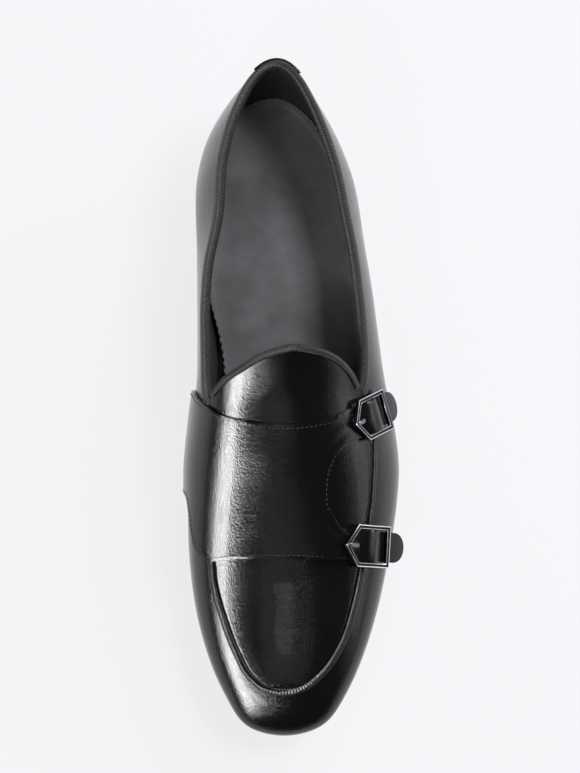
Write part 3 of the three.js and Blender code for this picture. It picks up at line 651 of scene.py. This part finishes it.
# Lower face of a strap along its buckle: millimetres out from the bar, and off the upper
ROUTE = np.array([
    (-14, -9), (-11.5, -2.2), (-9, 0.2), (-6, 2.0), (-3, 3.2), (0, over_bar), (2.2, 3.0), (4.6, 1.2),
    (7.2, under_side + 0.1), (9, under_side), (12, under_side - 0.1), (17, -0.5), (STRAP_TIP, -1.2),
])
STRAP_EDGE_DROP = 0.35
PRONG_DIP = 0.55
PRONG_DIP_AT = -8.6
FREE_FROM = 8.0  # from here outward a strap follows its route alone, without resting on the upper
HALF_COLUMNS = 26
NECK_ROWS = 34
STRAP_ROWS = 96
MAIN_ROWS = 110

apex_point = np.array(CUT_OUT_UPPER[0])
rear_root = np.array(SADDLE_REAR_EDGE[-1])
front_root = np.array(SADDLE_FRONT_EDGE[-1])
root_share = np.linspace(0, 1, HALF_COLUMNS)[:, None]
root_upper = rear_root + (apex_point - rear_root) * root_share
root_lower = apex_point + (front_root - apex_point) * root_share
foot_line = np.linspace(SADDLE_REAR_EDGE[0], SADDLE_FRONT_EDGE[0], 2 * HALF_COLUMNS - 1)
main_patch = coons(
    foot_line,
    np.concatenate([root_upper, root_lower[1:]]),
    resample(SADDLE_REAR_EDGE, MAIN_ROWS),
    resample(SADDLE_FRONT_EDGE, MAIN_ROWS),
)


def neck_and_strap(name, root, side_rows, pucker_depth):
    """The neck, as a patch on the last, the strap beyond it, and its buckle's own frame.

    The strap's height is the smooth maximum of the upper under it and its route through the buckle.
    """
    at, turn, degrees = BUCKLES[name]
    centre, basis = buckle_frame_at(at, turn, degrees)
    half = STRAP_WIDTH / 2
    across = np.linspace(half, -half, HALF_COLUMNS)
    joint = np.stack(local_to_last(centre, basis, (at, turn), np.full(HALF_COLUMNS, JOINT_AT), across), -1)
    left, right = (resample([*rows, end], NECK_ROWS) for rows, end in zip(side_rows, joint[[0, -1]]))
    patch = coons(root, joint, left, right)
    # Small folds where the strap is drawn in under the frame's point
    down_neck = np.linspace(0, 1, NECK_ROWS)[:, None]
    over_neck = np.linspace(-1, 1, HALF_COLUMNS)[None, :]
    fold_rise = 6.75 * down_neck**2 * (1 - down_neck)  # one at its highest, two thirds down the neck
    folds = pucker_depth * fold_rise * (1 + np.cos(2.5 * np.pi * over_neck + 0.6)) / 2
    neck = on_last(patch[..., 0], patch[..., 1], CLEARANCE + folds)[0]
    reach = JOINT_AT + (STRAP_TIP - JOINT_AT) * np.sin(np.linspace(0, np.pi / 2, STRAP_ROWS))
    tip_centre = STRAP_TIP - half
    width = half * np.sqrt(np.clip(1 - (np.clip(reach - tip_centre, 0, None) / half) ** 2, 0, 1))
    out = np.repeat(reach[:, None], HALF_COLUMNS, 1)
    side = width[:, None] * np.linspace(1, -1, HALF_COLUMNS)
    under = local_to_last(centre, basis, (at, turn), np.clip(out, None, FREE_FROM), side)
    floor_points, floor_normals = on_last(*under)
    floor_up = (floor_points - centre) @ basis[2] + CLEARANCE / (floor_normals @ basis[2])
    # Towards its sides the strap rises nearer the bar, clear of the frame's slanted bands
    route_out = np.where(out < 0, out * (1 + 0.27 * np.abs(side) / half), out)
    route_up = smooth_curve(ROUTE[:, 0], ROUTE[:, 1], route_out)
    # The strap's edges turn down a little over the hump, and it dips where the prong comes out
    hump = np.exp(-((out / 5.0) ** 2))
    route_up = route_up - STRAP_EDGE_DROP * hump * (side / half) ** 4
    route_up = route_up - PRONG_DIP * np.exp(-(((out - PRONG_DIP_AT) / 1.6) ** 2) - (side / 1.5) ** 2)
    blend = 0.5
    resting = blend * np.logaddexp(floor_up / blend, route_up / blend)
    foot = np.clip((out - JOINT_AT) / 1.5, 0, 1)
    up = np.where(out > FREE_FROM, route_up, floor_up * (1 - foot) + resting * foot)
    strap = centre + np.stack([out, side, up], -1) @ basis
    strap[0] = neck[-1]
    return neck, strap, (centre, basis)


upper_sides, lower_sides = (UPPER_STRAP_REAR, CUT_OUT_UPPER), (CUT_OUT_LOWER, LOWER_STRAP_FRONT)
upper_neck, upper_strap, upper_place = neck_and_strap("upper", root_upper, upper_sides, 0.15)
lower_neck, lower_strap, lower_place = neck_and_strap("lower", root_lower, lower_sides, 0.3)
saddle_main = on_last(main_patch[..., 0], main_patch[..., 1], CLEARANCE)[0]
saddle_sheets = [saddle_main, upper_neck, upper_strap, lower_neck, lower_strap]
saddle = make_piece("saddle_leather", saddle_sheets, calf, ["saddle"], flip=True)
thicken(saddle, SADDLE_THICKNESS, outward=True, bevel=0.65)

# Buckles
# Five-sided frames with a centre bar, cast and blackened, their edges polished bright. The prong
# turns on the bar and rests on the frame's point.
BUCKLE_WIDTH = 18.6
BUCKLE_POINT = 14.6
BUCKLE_SHOULDER = 7.6
BAR_WIDTH = 2.0
PRONG_WIDTH = 1.7
PRONG_THICKNESS = 1.1
EDGE_WIDTH = 0.22
gunmetal = new_material("blackened_zinc", "#2a2b2e", 0.34, Metallic=1.0)[0]
prong_metal = new_material("worn_prong", "#808084", 0.3, Metallic=1.0)[0]
bright_metal = new_material("polished_edge", "#e4e4e8", 0.16, Metallic=1.0)[0]


def pentagon(inset):
    """Corners of the frame, moved in by inset: two rear corners, two shoulders and the point."""
    half = BUCKLE_WIDTH / 2
    lean = math.atan2(BUCKLE_POINT - BUCKLE_SHOULDER, half)
    shoulder = BUCKLE_SHOULDER - inset * math.tan((math.pi / 2 - lean) / 2)
    side = half - inset
    return np.array([
        (BUCKLE_REAR - inset, side),
        (-shoulder, side),
        (-(BUCKLE_POINT - inset / math.cos(lean)), 0),
        (-shoulder, -side),
        (BUCKLE_REAR - inset, -side),
    ])


def ring_faces(rings, sides):
    """Quads from every ring of points to the next, and from the last back to the first."""
    index = np.arange(rings * sides).reshape(rings, sides)
    after = np.roll(index, -1, 0)
    return np.stack([index, np.roll(index, -1, 1), np.roll(after, -1, 1), after], -1).reshape(-1, 4)


def end_faces(rings, sides):
    """The two ends of a tube of rings: its first ring turned round, and its last."""
    index = np.arange(rings * sides).reshape(rings, sides)
    return np.stack([index[0][::-1], index[-1]])


def metal_piece(name, rings, place, materials, numbers=None, nodes=(), bevel=0.3, segments=3):
    """A buckle's piece with rounded edges, from rings of points in the buckle's own frame.

    With numbers, the material of every stretch, the last ring joins the first. Without, it has two ends.
    """
    centre, basis = place
    count, sides = rings.shape[:2]
    faces = ring_faces(count, sides).tolist()
    if numbers is None:
        faces = faces[:-sides] + end_faces(count, sides).tolist()
    mesh = bpy.data.meshes.new(name)
    mesh.from_pydata(((centre + rings.reshape(-1, 3) @ basis) * MM).tolist(), [], faces)
    for material in materials:
        mesh.materials.append(material)
    if numbers is not None:
        mesh.polygons.foreach_set("material_index", np.repeat(numbers, sides))
    piece = put(name, mesh, nodes)
    round_edges(piece, bevel, 35, segments)
    mesh.set_sharp_from_angle(angle=math.radians(50))


def at_height(outline, z):
    """Points in the plane lifted to a height."""
    return np.pad(outline, ((0, 0), (0, 1)), constant_values=z)


def box_rings(sections):
    """Rectangles across a bar: distance out, low, high and half width of each, towards the strap's tip."""
    return np.array([
        [(out, -half, low), (out, half, low), (out, half, high), (out, -half, high)]
        for out, low, high, half in sections
    ])


band_top = BUCKLE_LIFT + BUCKLE_THICKNESS
# Rings of a frame's band: inset, height, and the material of the stretch that follows, 1 where polished
BAND = [
    (0, BUCKLE_LIFT + 0.2, 0),
    (0, band_top - EDGE_WIDTH, 1),
    (EDGE_WIDTH, band_top, 1),
    (EDGE_WIDTH + 0.18, band_top - 0.02, 0),
    (BUCKLE_BAND - EDGE_WIDTH - 0.14, band_top - 0.1, 1),
    (BUCKLE_BAND - EDGE_WIDTH, band_top - 0.06, 1),
    (BUCKLE_BAND, band_top - EDGE_WIDTH - 0.1, 0),
    (BUCKLE_BAND, BUCKLE_LIFT + 0.2, 0),
    (BUCKLE_BAND - 0.2, BUCKLE_LIFT, 0),
    (0.2, BUCKLE_LIFT, 0),
]
bar_half = (BUCKLE_WIDTH - BUCKLE_BAND) / 2
BAR = [(out, BUCKLE_LIFT, BUCKLE_LIFT + BAR_THICKNESS, bar_half) for out in (-BAR_WIDTH / 2, BAR_WIDTH / 2)]
PRONG = [
    (-BUCKLE_POINT + 0.3, band_top - 0.5, band_top + 0.35, PRONG_WIDTH / 2 - 0.3),
    (-BUCKLE_POINT + 1.6, band_top + 0.1, band_top + PRONG_THICKNESS, PRONG_WIDTH / 2 - 0.1),
    (-10.4, band_top + 0.1, band_top + 0.1 + PRONG_THICKNESS, PRONG_WIDTH / 2),
    (-6.5, 2.0, 2.0 + PRONG_THICKNESS, PRONG_WIDTH / 2),
    (-(BAR_WIDTH / 2 + CLEARANCE), 2.0, 2.9, PRONG_WIDTH / 2),
]
band = np.array([at_height(pentagon(inset), z) for inset, z, _ in BAND])
finishes = [number for _, _, number in BAND]
for which, place in (("upper", upper_place), ("lower", lower_place)):
    frame_node, prong_node = ["buckle_frame_" + which], ["buckle_prong_" + which]
    metal_piece("frame_" + which, band, place, [gunmetal, bright_metal], finishes, frame_node, 0.06, 2)
    metal_piece("bar_" + which, box_rings(BAR), place, [gunmetal])
    metal_piece("prong_" + which, box_rings(PRONG), place, [prong_metal], nodes=prong_node, bevel=0.25)

# Apron seam
# The wall's edge turned up and whip-stitched to the plug by hand: a rounded ridge, drawn tight
# by a thread at every stitch.
SEAM_HEIGHT = 0.95
SEAM_WIDTH = 3.2
FLAT_SEAM_HEIGHT = 0.6  # where the straps press on it, beside the cut-out
FLAT_SEAM_WIDTH = 1.7
SEAM_SHIFT = 0.4  # the ridge leans over the wall
STITCH_PITCH = 1.3
RIB_STEPS = 6
RIB_NARROWS = 0.14  # shares of its width and height that the ridge loses between two ribs
RIB_DROPS = 0.48
THREAD_SLANT = 0.175
SEAM_COLUMNS = 13


def even_path(points, step, normals):
    """Running length, points and normals of a line at even steps of length."""
    far = along_lengths(points)
    t = np.linspace(0, far[-1], max(2, int(far[-1] / step) + 1))
    pick = lambda values: np.stack([np.interp(t, far, column) for column in values.T], -1)
    return t, pick(points), pick(normals)


def path_frames(points, normals):
    """Tangent, side and normal at every point of a line on a surface."""
    tangent = unit(np.gradient(points, axis=0))
    side = unit(np.cross(normals, tangent))
    return tangent, side, unit(np.cross(tangent, side))


def close_ends(sheet):
    """Adds a last row at each end that gathers the ring in the middle, so the solid is closed."""
    middles = np.repeat(sheet[[0, -1]].mean(1, keepdims=True), sheet.shape[1], 1)
    return np.concatenate([middles[:1], sheet, middles[1:]])


def seam_sheet(rows, seam_height, seam_width):
    """Ridge along a line on the last, its height and width pulsing once a stitch."""
    at, across = plan_curve(rows, 900)
    points, normals = on_last(at, turn_over(at, across))
    far, points, normals = even_path(points, STITCH_PITCH / RIB_STEPS, normals)
    tangent, side, normal = path_frames(points, normals)
    angle = np.linspace(0, np.pi, SEAM_COLUMNS)[::-1]
    pulse = np.abs(np.sin(np.pi * far / STITCH_PITCH))[:, None] ** 0.7
    low = CLEARANCE - 0.25
    shift = SEAM_SHIFT * seam_width / SEAM_WIDTH
    width = seam_width / 2 * (1 - RIB_NARROWS * (1 - pulse)) * np.cos(angle) - shift
    up = low + (seam_height + CLEARANCE - low) * (1 - RIB_DROPS * (1 - pulse)) * np.sin(angle) ** 0.55
    sheet = points[:, None] + width[..., None] * side[:, None] + up[..., None] * normal[:, None]
    # The threads lie a little askew
    sheet = sheet + (THREAD_SLANT * np.cos(angle) * pulse)[..., None] * tangent[:, None]
    return close_ends(np.concatenate([sheet, sheet[:, :1]], 1))


# The seam's two visible stretches, on the same lines as the edge of the wall
SEAM_TOE = [(0.744, -0.331)] + SEAM_MEDIAL[4:] + SEAM_LATERAL[-2:-7:-1] + [(0.752, 0.366)]
SEAM_SIDE = [(0.709, 0.393), (0.683, 0.406)] + SEAM_LATERAL[5:2:-1] + [(0.573, 0.427)]
for name, rows, height, width in (
    ("apron_seam_toe", SEAM_TOE, SEAM_HEIGHT, SEAM_WIDTH),
    ("apron_seam_side", SEAM_SIDE, FLAT_SEAM_HEIGHT, FLAT_SEAM_WIDTH),
):
    ridge = seam_sheet(rows, height, width)
    make_piece("stitched_" + name, [ridge], calf, [name], merge=0.001)

# Bindings
# Ribbed silk ribbon folded over the collar and over the tongue's edge, ribs across it, stitched
# near its lower edge.
RIBBON_WIDTH = 3.4
TONGUE_RIBBON_WIDTH = 2.2
RIBBON_THICKNESS = 0.6
RIB_PITCH = 1.0
RIB_HEIGHT = 0.17
ribbon = new_material("ribbed_ribbon", "#0c0c0e", 0.55, Sheen_Weight=0.08)[0]


def fold_profile(width):
    """Closed section of the fold: (down the wall, off the wall) points and their outward directions."""
    out = CLEARANCE + RIBBON_THICKNESS
    inner = WALL + out
    outside = [(width, out), (width * 0.6, out), (0.6, out), (-0.25, out - 0.35), (-0.75, out - 1.0)]
    top = [(-out, -WALL / 2), (-0.75, -inner + 1.0), (-0.25, -inner + 0.35)]
    inside = [(0.6, -inner), (width * 0.6, -inner), (width, -inner)]
    back_inside = [(width, -WALL - CLEARANCE), (0.1, -WALL - CLEARANCE), (-0.15, -WALL)]
    back_outside = [(-0.15, 0.0), (0.1, CLEARANCE), (width, CLEARANCE)]
    points = np.array(outside + top + inside + back_inside + back_outside)
    around = np.roll(points, -1, 0) - np.roll(points, 1, 0)
    outward = unit(np.stack([-around[:, 1], around[:, 0]], -1))
    outward[len(outside) + len(top) + len(inside):] = 0
    return points, -outward


def ribbon_piece(name, points, normals, width, toward, node):
    """Builds the ribbon on a line; toward tells which way the fold's sides run from the edge."""
    far, points, normals = even_path(points, RIB_PITCH / 5, normals)
    tangent = unit(np.gradient(points, axis=0))
    normals = unit(normals)
    down = unit(np.cross(tangent, normals))
    turned = np.sign((down @ np.array(toward)).sum())
    down = down * turned
    profile, outward = fold_profile(width)
    rib = RIB_HEIGHT * np.cos(2 * np.pi * far / RIB_PITCH)
    shape = profile[None] + rib[:, None, None] * outward[None]
    sheet = points[:, None] + shape[..., :1] * down[:, None] + shape[..., 1:] * normals[:, None]
    sheet = close_ends(np.concatenate([sheet, sheet[:, :1]], 1))
    return make_piece(name, [sheet], ribbon, [node], merge=0.001, flip=turned < 0)


def collar_line(lateral, end, end_steps):
    """Points and normals along one side's collar from the heel, and past the tongue's corner to the end."""
    at = share_of(station_of(THROAT[lateral]) * np.linspace(0, 1, 500) ** 1.3)
    past = np.linspace(THROAT[lateral] + 0.002, end, end_steps)
    turns = np.concatenate([collar_turn(at, lateral), seam_turn(past, lateral)])
    return on_last(np.concatenate([at, past]), turns)


# The ribbon ends under the saddle, and beside the upper buckle
collar_path = (
    np.concatenate([lateral[::-1], medial[1:]])
    for lateral, medial in zip(collar_line(True, 0.513, 6), collar_line(False, 0.53, 12))
)
ribbon_piece("collar_ribbon", *collar_path, RIBBON_WIDTH, (0, 0, -1), "collar_binding")
# The corners of the tongue's ribbon stay under the collar's
tongue_path = [row[7:-7] for row in on_last(tongue_at, turn_over(tongue_at, tongue_across))]
ribbon_piece("tongue_ribbon", *tongue_path, TONGUE_RIBBON_WIDTH, (0, -1, 0), "tongue_binding")

# Sole and heel
# A thin leather sole with a black waxed edge, a heel of leather lifts with their joints showing,
# and a rubber piece under it.
SOLE_MARGIN = 1.4
SOLE_BEVEL = 1.0
TOP_PIECE_HEIGHT = 6.0
HEEL_TAPER = 1.2
HEEL_INSET = 0.6
HEEL_BREAST = 0.245
BREAST_HOLLOW = 3.0
SOLE_ROWS = 170
HEEL_ROWS = 48
INSOLE_ROWS = 120
SOCK_ROWS = 482
sole_edge, sole_tree, sole_shader = new_material("black_waxed_sole_leather", "#161617", 0.4)
add_grain(sole_tree, sole_shader, 400.0, 4.0, 0.2, 0.0004)
heel_rubber = new_material("black_heel_rubber", "#131313", 0.75)[0]


def feather_line(at, lateral, margin):
    """Outline of the bottom, moved out by margin: x and y of one side."""
    x, along, out_x, out_along = widest(station_of(at), np.full(np.shape(at), lateral))
    tuck = FEATHER_TUCK * side_section("tuck_", station_of(at), lateral)
    x = np.maximum(x + (margin - tuck) * out_x, 0.2)
    y = HEEL_REAR - along - (margin - tuck) * out_along
    return (x if lateral else -x), y


def bottom_sheet(profile, at, across=17):
    """Closed solid of rings: each ring goes up one edge's profile, over the top, down the other and back."""
    under = sole_underside(at)
    lateral_side, medial_side = (
        [np.stack([*feather_line(at, lateral, margin), under + up], -1) for margin, up in profile]
        for lateral in (True, False)
    )
    between = np.linspace(0, 1, across)[1:-1]
    top = [lateral_side[-1] + (medial_side[-1] - lateral_side[-1]) * t for t in between]
    low = [medial_side[0] + (lateral_side[0] - medial_side[0]) * t for t in between]
    return close_ends(np.stack(lateral_side + top + medial_side[::-1] + low + [lateral_side[0]], 1))


sole_rows = share_of(np.linspace(0.006, 0.994, SOLE_ROWS))
# Inset from the feather line and height of the sole's edge, from below upwards
sole_profile = [
    (SOLE_MARGIN - SOLE_BEVEL, 0), (SOLE_MARGIN - 0.3, 0.3), (SOLE_MARGIN, SOLE_BEVEL),
    (SOLE_MARGIN, 2.4), (SOLE_MARGIN, SOLE_THICKNESS - 0.6),
    (SOLE_MARGIN - 0.2, SOLE_THICKNESS - 0.12), (SOLE_MARGIN - 0.6, SOLE_THICKNESS),
]
sole_sheet = bottom_sheet(sole_profile, sole_rows)
make_piece("sole", [sole_sheet], sole_edge, ["outsole"], flip=True)


def heel_sheet(levels):
    """Closed solid of level outlines: (height, extra margin) pairs, from below upwards."""
    at = share_of(np.linspace(0.006, float(station_of(HEEL_BREAST)), HEEL_ROWS))
    t = np.linspace(0, 1, 22)[1:-1, None]
    rings = []
    for z, extra in levels:
        margin = SOLE_MARGIN - HEEL_INSET - HEEL_TAPER * (1 - z / HEEL_HEIGHT) + extra
        lateral, medial = (np.stack(feather_line(at, side, margin), -1) for side in (True, False))
        breast = lateral[-1] + (medial[-1] - lateral[-1]) * t + [0, BREAST_HOLLOW] * np.sin(np.pi * t)
        ring = np.concatenate([lateral, breast, medial[::-1], lateral[:1]])
        rings.append(at_height(ring, z))
    return close_ends(np.array(rings))


def lift_levels(low, high, count):
    """Heights of a stack of lifts: a fine groove at every joint."""
    levels = [(low, -0.3), (low + 0.25, 0.0)]
    for i in range(1, count):
        z = low + (high - low) * i / count
        levels += [(z - 0.18, 0.0), (z, -0.16), (z + 0.18, 0.0)]
    return levels + [(high - 0.2, 0.0), (high, -0.15)]


lifts_sheet = heel_sheet(lift_levels(TOP_PIECE_HEIGHT + CLEARANCE, HEEL_HEIGHT, 3))
make_piece("heel_lifts", [lifts_sheet], sole_edge, ["heel_stack"])
rubber_sheet = heel_sheet(lift_levels(0.0, TOP_PIECE_HEIGHT, 1))
make_piece("heel_rubber", [rubber_sheet], heel_rubber, ["heel_top_piece"])

# Insole and sock lining
# A leather insole on the sole, and over it a matt grey sock lining, pinked along its edge, that
# turns up a little against the wall.
INSOLE_THICKNESS = 3.0
insole_leather = new_material("matt_insole_leather", "#3d3d3f", 0.7)[0]
insole_low = SOLE_THICKNESS + CLEARANCE
insole_margin = -WALL - CLEARANCE - 0.5
insole_profile = [(insole_margin, insole_low), (insole_margin, insole_low + INSOLE_THICKNESS - 0.4)]
insole_sheet = bottom_sheet(insole_profile, share_of(np.linspace(0.05, 0.93, INSOLE_ROWS)))
make_piece("insole_board", [insole_sheet], insole_leather, ["insole"], flip=True)

sock, sock_tree, sock_shader = new_material("matt_grey_sock_leather", "#4b4b4d", 0.58)
sock_place = {"Vector": add_grain(sock_tree, sock_shader, 1100.0, 2.0, 0.2, 0.0003)}
sock_clouds = add_node(sock_tree, "ShaderNodeTexNoise", sock_place, Scale=28.0, Detail=6.0, Roughness=0.65)
sock_ramp = add_node(sock_tree, "ShaderNodeValToRGB", {"Fac": sock_clouds.outputs["Fac"]})
for stop, position, colour in zip(sock_ramp.color_ramp.elements, (0.35, 0.68), ("#535356", "#6e6e72")):
    stop.position = position
    stop.color = linear(colour)
sock_tree.links.new(sock_ramp.outputs["Color"], sock_shader.inputs["Base Color"])
SOCK_THICKNESS = 0.7
SOCK_RISE = 4.6
TOOTH_PITCH = 3.3
TOOTH_DEPTH = 0.9
sock_at = share_of(np.concatenate([[0.0], np.linspace(0.012, 0.80, SOCK_ROWS)]))
ARCH_DRAWN_IN = 6.5  # how far the sock's medial edge runs inside the wall at the arch
toward_arch = smooth_step(sock_at, 0.28, 0.46)


def sock_half(lateral):
    """One side of the sock: its floor corner and the points up the wall to the pinked edge."""
    bulge = BULGE_HEIGHT * section("bulge", station_of(sock_at))
    corner = LOWER_SHARE * (INSOLE_THICKNESS + 0.2) / bulge
    x, y = feather_line(sock_at, lateral, 0.0)
    far = along_lengths(np.stack([x, y], -1))
    tooth = np.abs((far / TOOTH_PITCH) % 1 - 0.5) * 2 * TOOTH_DEPTH
    rise = SOCK_RISE if lateral else SOCK_RISE - (SOCK_RISE - 1.2) * toward_arch
    rim = corner + LOWER_SHARE * (rise - tooth) / bulge
    turns = rim[:, None] + (corner - rim)[:, None] * np.linspace(0, 1, 7)
    turns = turns if lateral else 1 - turns
    points = on_last(sock_at[:, None], turns, -WALL - 0.25 - SOCK_THICKNESS)[0]
    if not lateral:
        points[..., 0] += (ARCH_DRAWN_IN * toward_arch)[:, None]
        points[:, :3, 0] += (tooth * toward_arch)[:, None] * np.array([1.0, 0.66, 0.33])
    return points


sock_lateral, sock_medial = sock_half(True), sock_half(False)[:, ::-1]
middle_share = np.linspace(0, 1, 26)[1:-1, None]
sock_floor = sock_lateral[:, -1:] + (sock_medial[:, :1] - sock_lateral[:, -1:]) * middle_share
sock_sheet = np.concatenate([sock_lateral, sock_floor, sock_medial], 1)
for _ in range(3):
    sock_sheet[:, 2:-2] = (sock_sheet[:, 1:-3] + 2 * sock_sheet[:, 2:-2] + sock_sheet[:, 3:-1]) / 4
# Both halves meet at the back seam
sock_sheet[0, :, 0] = 0
sock_sheet[0, 7:-7] = sock_sheet[0, 6]
sock_sheet[0, -7:] = sock_sheet[0, 6::-1]
thicken(make_piece("sock_lining", [sock_sheet], sock, flip=True), SOCK_THICKNESS)

# Heel tab
# A small stitched tab of calf over the back seam, under the ribbon's fold.
TAB_WIDTH = 18.5
TAB_HEIGHT = 22.0
TAB_THICKNESS = 1.5
TAB_OFF_WALL = 0.35
RIBBON_STEP = 0.75  # further out over the ribbon
TAB_COLUMNS = 41
TAB_ROWS = 40
collar_top = HEEL_SEAT + COLLAR_BACK
tab_x, tab_z = np.meshgrid(
    np.linspace(-TAB_WIDTH / 2, TAB_WIDTH / 2, TAB_COLUMNS),
    np.linspace(collar_top - 0.2, collar_top - TAB_HEIGHT, TAB_ROWS),
)


def back_point(x, z):
    """Share of the length and turn of the point at x and z on the heel's back, by repeated halving."""
    station = np.full(x.shape, 0.08)
    point = lambda station, turn: last(station, np.where(x >= 0, turn, 1 - turn))
    for _ in range(6):
        turn = halve(x.shape, 0.0, 0.5, lambda t: point(station, t)[..., 2] < z, 26)
        station = halve(x.shape, 0.0, 0.3, lambda s: np.abs(point(s, turn)[..., 0]) < np.abs(x), 26)
    return share_of(station), np.where(x >= 0, turn, 1 - turn)


tab_at, tab_turn = back_point(tab_x, tab_z)
ribbon_low = collar_top - RIBBON_WIDTH
tab_offset = TAB_OFF_WALL + RIBBON_STEP * smooth_step(tab_z, ribbon_low - 3.0, ribbon_low - 0.5)
tab_sheet = on_last(tab_at, tab_turn, tab_offset)[0]
heel_tab = make_piece("back_tab", [tab_sheet], calf, ["heel_tab"], flip=True)
thicken(heel_tab, TAB_THICKNESS / 2, outward=True, bevel=0.2)

# Stitches
# Black waxed thread, in rows along the edges of saddle, tongue ribbon and heel tab. Each stitch
# is a short round-ended length sunk by half its thickness.
thread = new_material("waxed_black_thread", "#121214", 0.6)[0]
THREAD_RADIUS = 0.2
STITCH_SIDES = 6


def stitch_row(name, points, normals, pitch, length):
    """Capsules along a line: rings of six points that widen and close again over each stitch's length."""
    _, points, normals = even_path(points, pitch, normals)
    tangent, side, normal = path_frames(points, normals)
    along = np.array([-0.5, -0.46, -0.3, 0.0, 0.3, 0.46, 0.5]) * length
    radius = np.array([0.02, 0.6, 1.0, 1.0, 1.0, 0.6, 0.02]) * THREAD_RADIUS
    lift = np.array([-0.8, -0.5, 0.1, 0.3, 0.1, -0.5, -0.8]) * THREAD_RADIUS
    angle = np.arange(STITCH_SIDES) * 2 * np.pi / STITCH_SIDES
    across, up = radius[:, None] * np.cos(angle), radius[:, None] * np.sin(angle) + lift[:, None]
    capsule = np.stack([np.broadcast_to(along[:, None], up.shape), across, up], -1).reshape(-1, 3)
    verts = points[:, None] + capsule @ np.stack([tangent, side, normal], 1)
    starts = (np.arange(len(points)) * len(capsule))[:, None, None]
    quads = ring_faces(len(along), STITCH_SIDES)[:-STITCH_SIDES] + starts
    caps = end_faces(len(along), STITCH_SIDES) + starts
    faces = quads.reshape(-1, 4).tolist() + caps.reshape(-1, STITCH_SIDES).tolist()
    mesh = bpy.data.meshes.new(name)
    mesh.from_pydata((verts.reshape(-1, 3) * MM).tolist(), [], faces)
    mesh.materials.append(thread)
    put(name, mesh)


SADDLE_PITCH = 2.1
rear_edge = SADDLE_REAR_EDGE + UPPER_STRAP_REAR[1:] + [(0.539, 0.363)]
front_edge = SADDLE_FRONT_EDGE + LOWER_STRAP_FRONT[1:] + [(0.755, 0.384)]
cut_out_edge = [(0.577, 0.36)] + CUT_OUT_UPPER[::-1] + CUT_OUT_LOWER[1:] + [(0.713, 0.377)]
# Rows on the saddle: the edge that each follows, its count of points, how far it lies from it
for name, edge, count, inset in (
    ("stitches_rear", rear_edge, 400, -1.5),
    ("stitches_front", front_edge, 400, 1.5),
    ("stitches_cut_out", cut_out_edge, 300, -1.0),
):
    points, normals = on_last(*resample(edge, count).T, CLEARANCE + SADDLE_THICKNESS)
    points = points + path_frames(points, normals)[1] * inset
    stitch_row(name, points, normals, SADDLE_PITCH, SADDLE_PITCH * 0.72)
ribbon_top = CLEARANCE + RIBBON_THICKNESS + RIB_HEIGHT / 2
points, normals = tongue_path
points = points - (TONGUE_RIBBON_WIDTH - 0.6) * path_frames(points, normals)[1] + ribbon_top * normals
stitch_row("stitches_tongue", points, normals, 2.0, 1.4)
for name, column in (("stitches_tab_lateral", -3), ("stitches_tab_medial", 2)):
    row_at, row_turn, row_offset = (values[1:-2, column] for values in (tab_at, tab_turn, tab_offset))
    tab_row, tab_out = on_last(row_at, row_turn, row_offset + TAB_THICKNESS / 2)
    stitch_row(name, tab_row, tab_out, 2.2, 1.6)
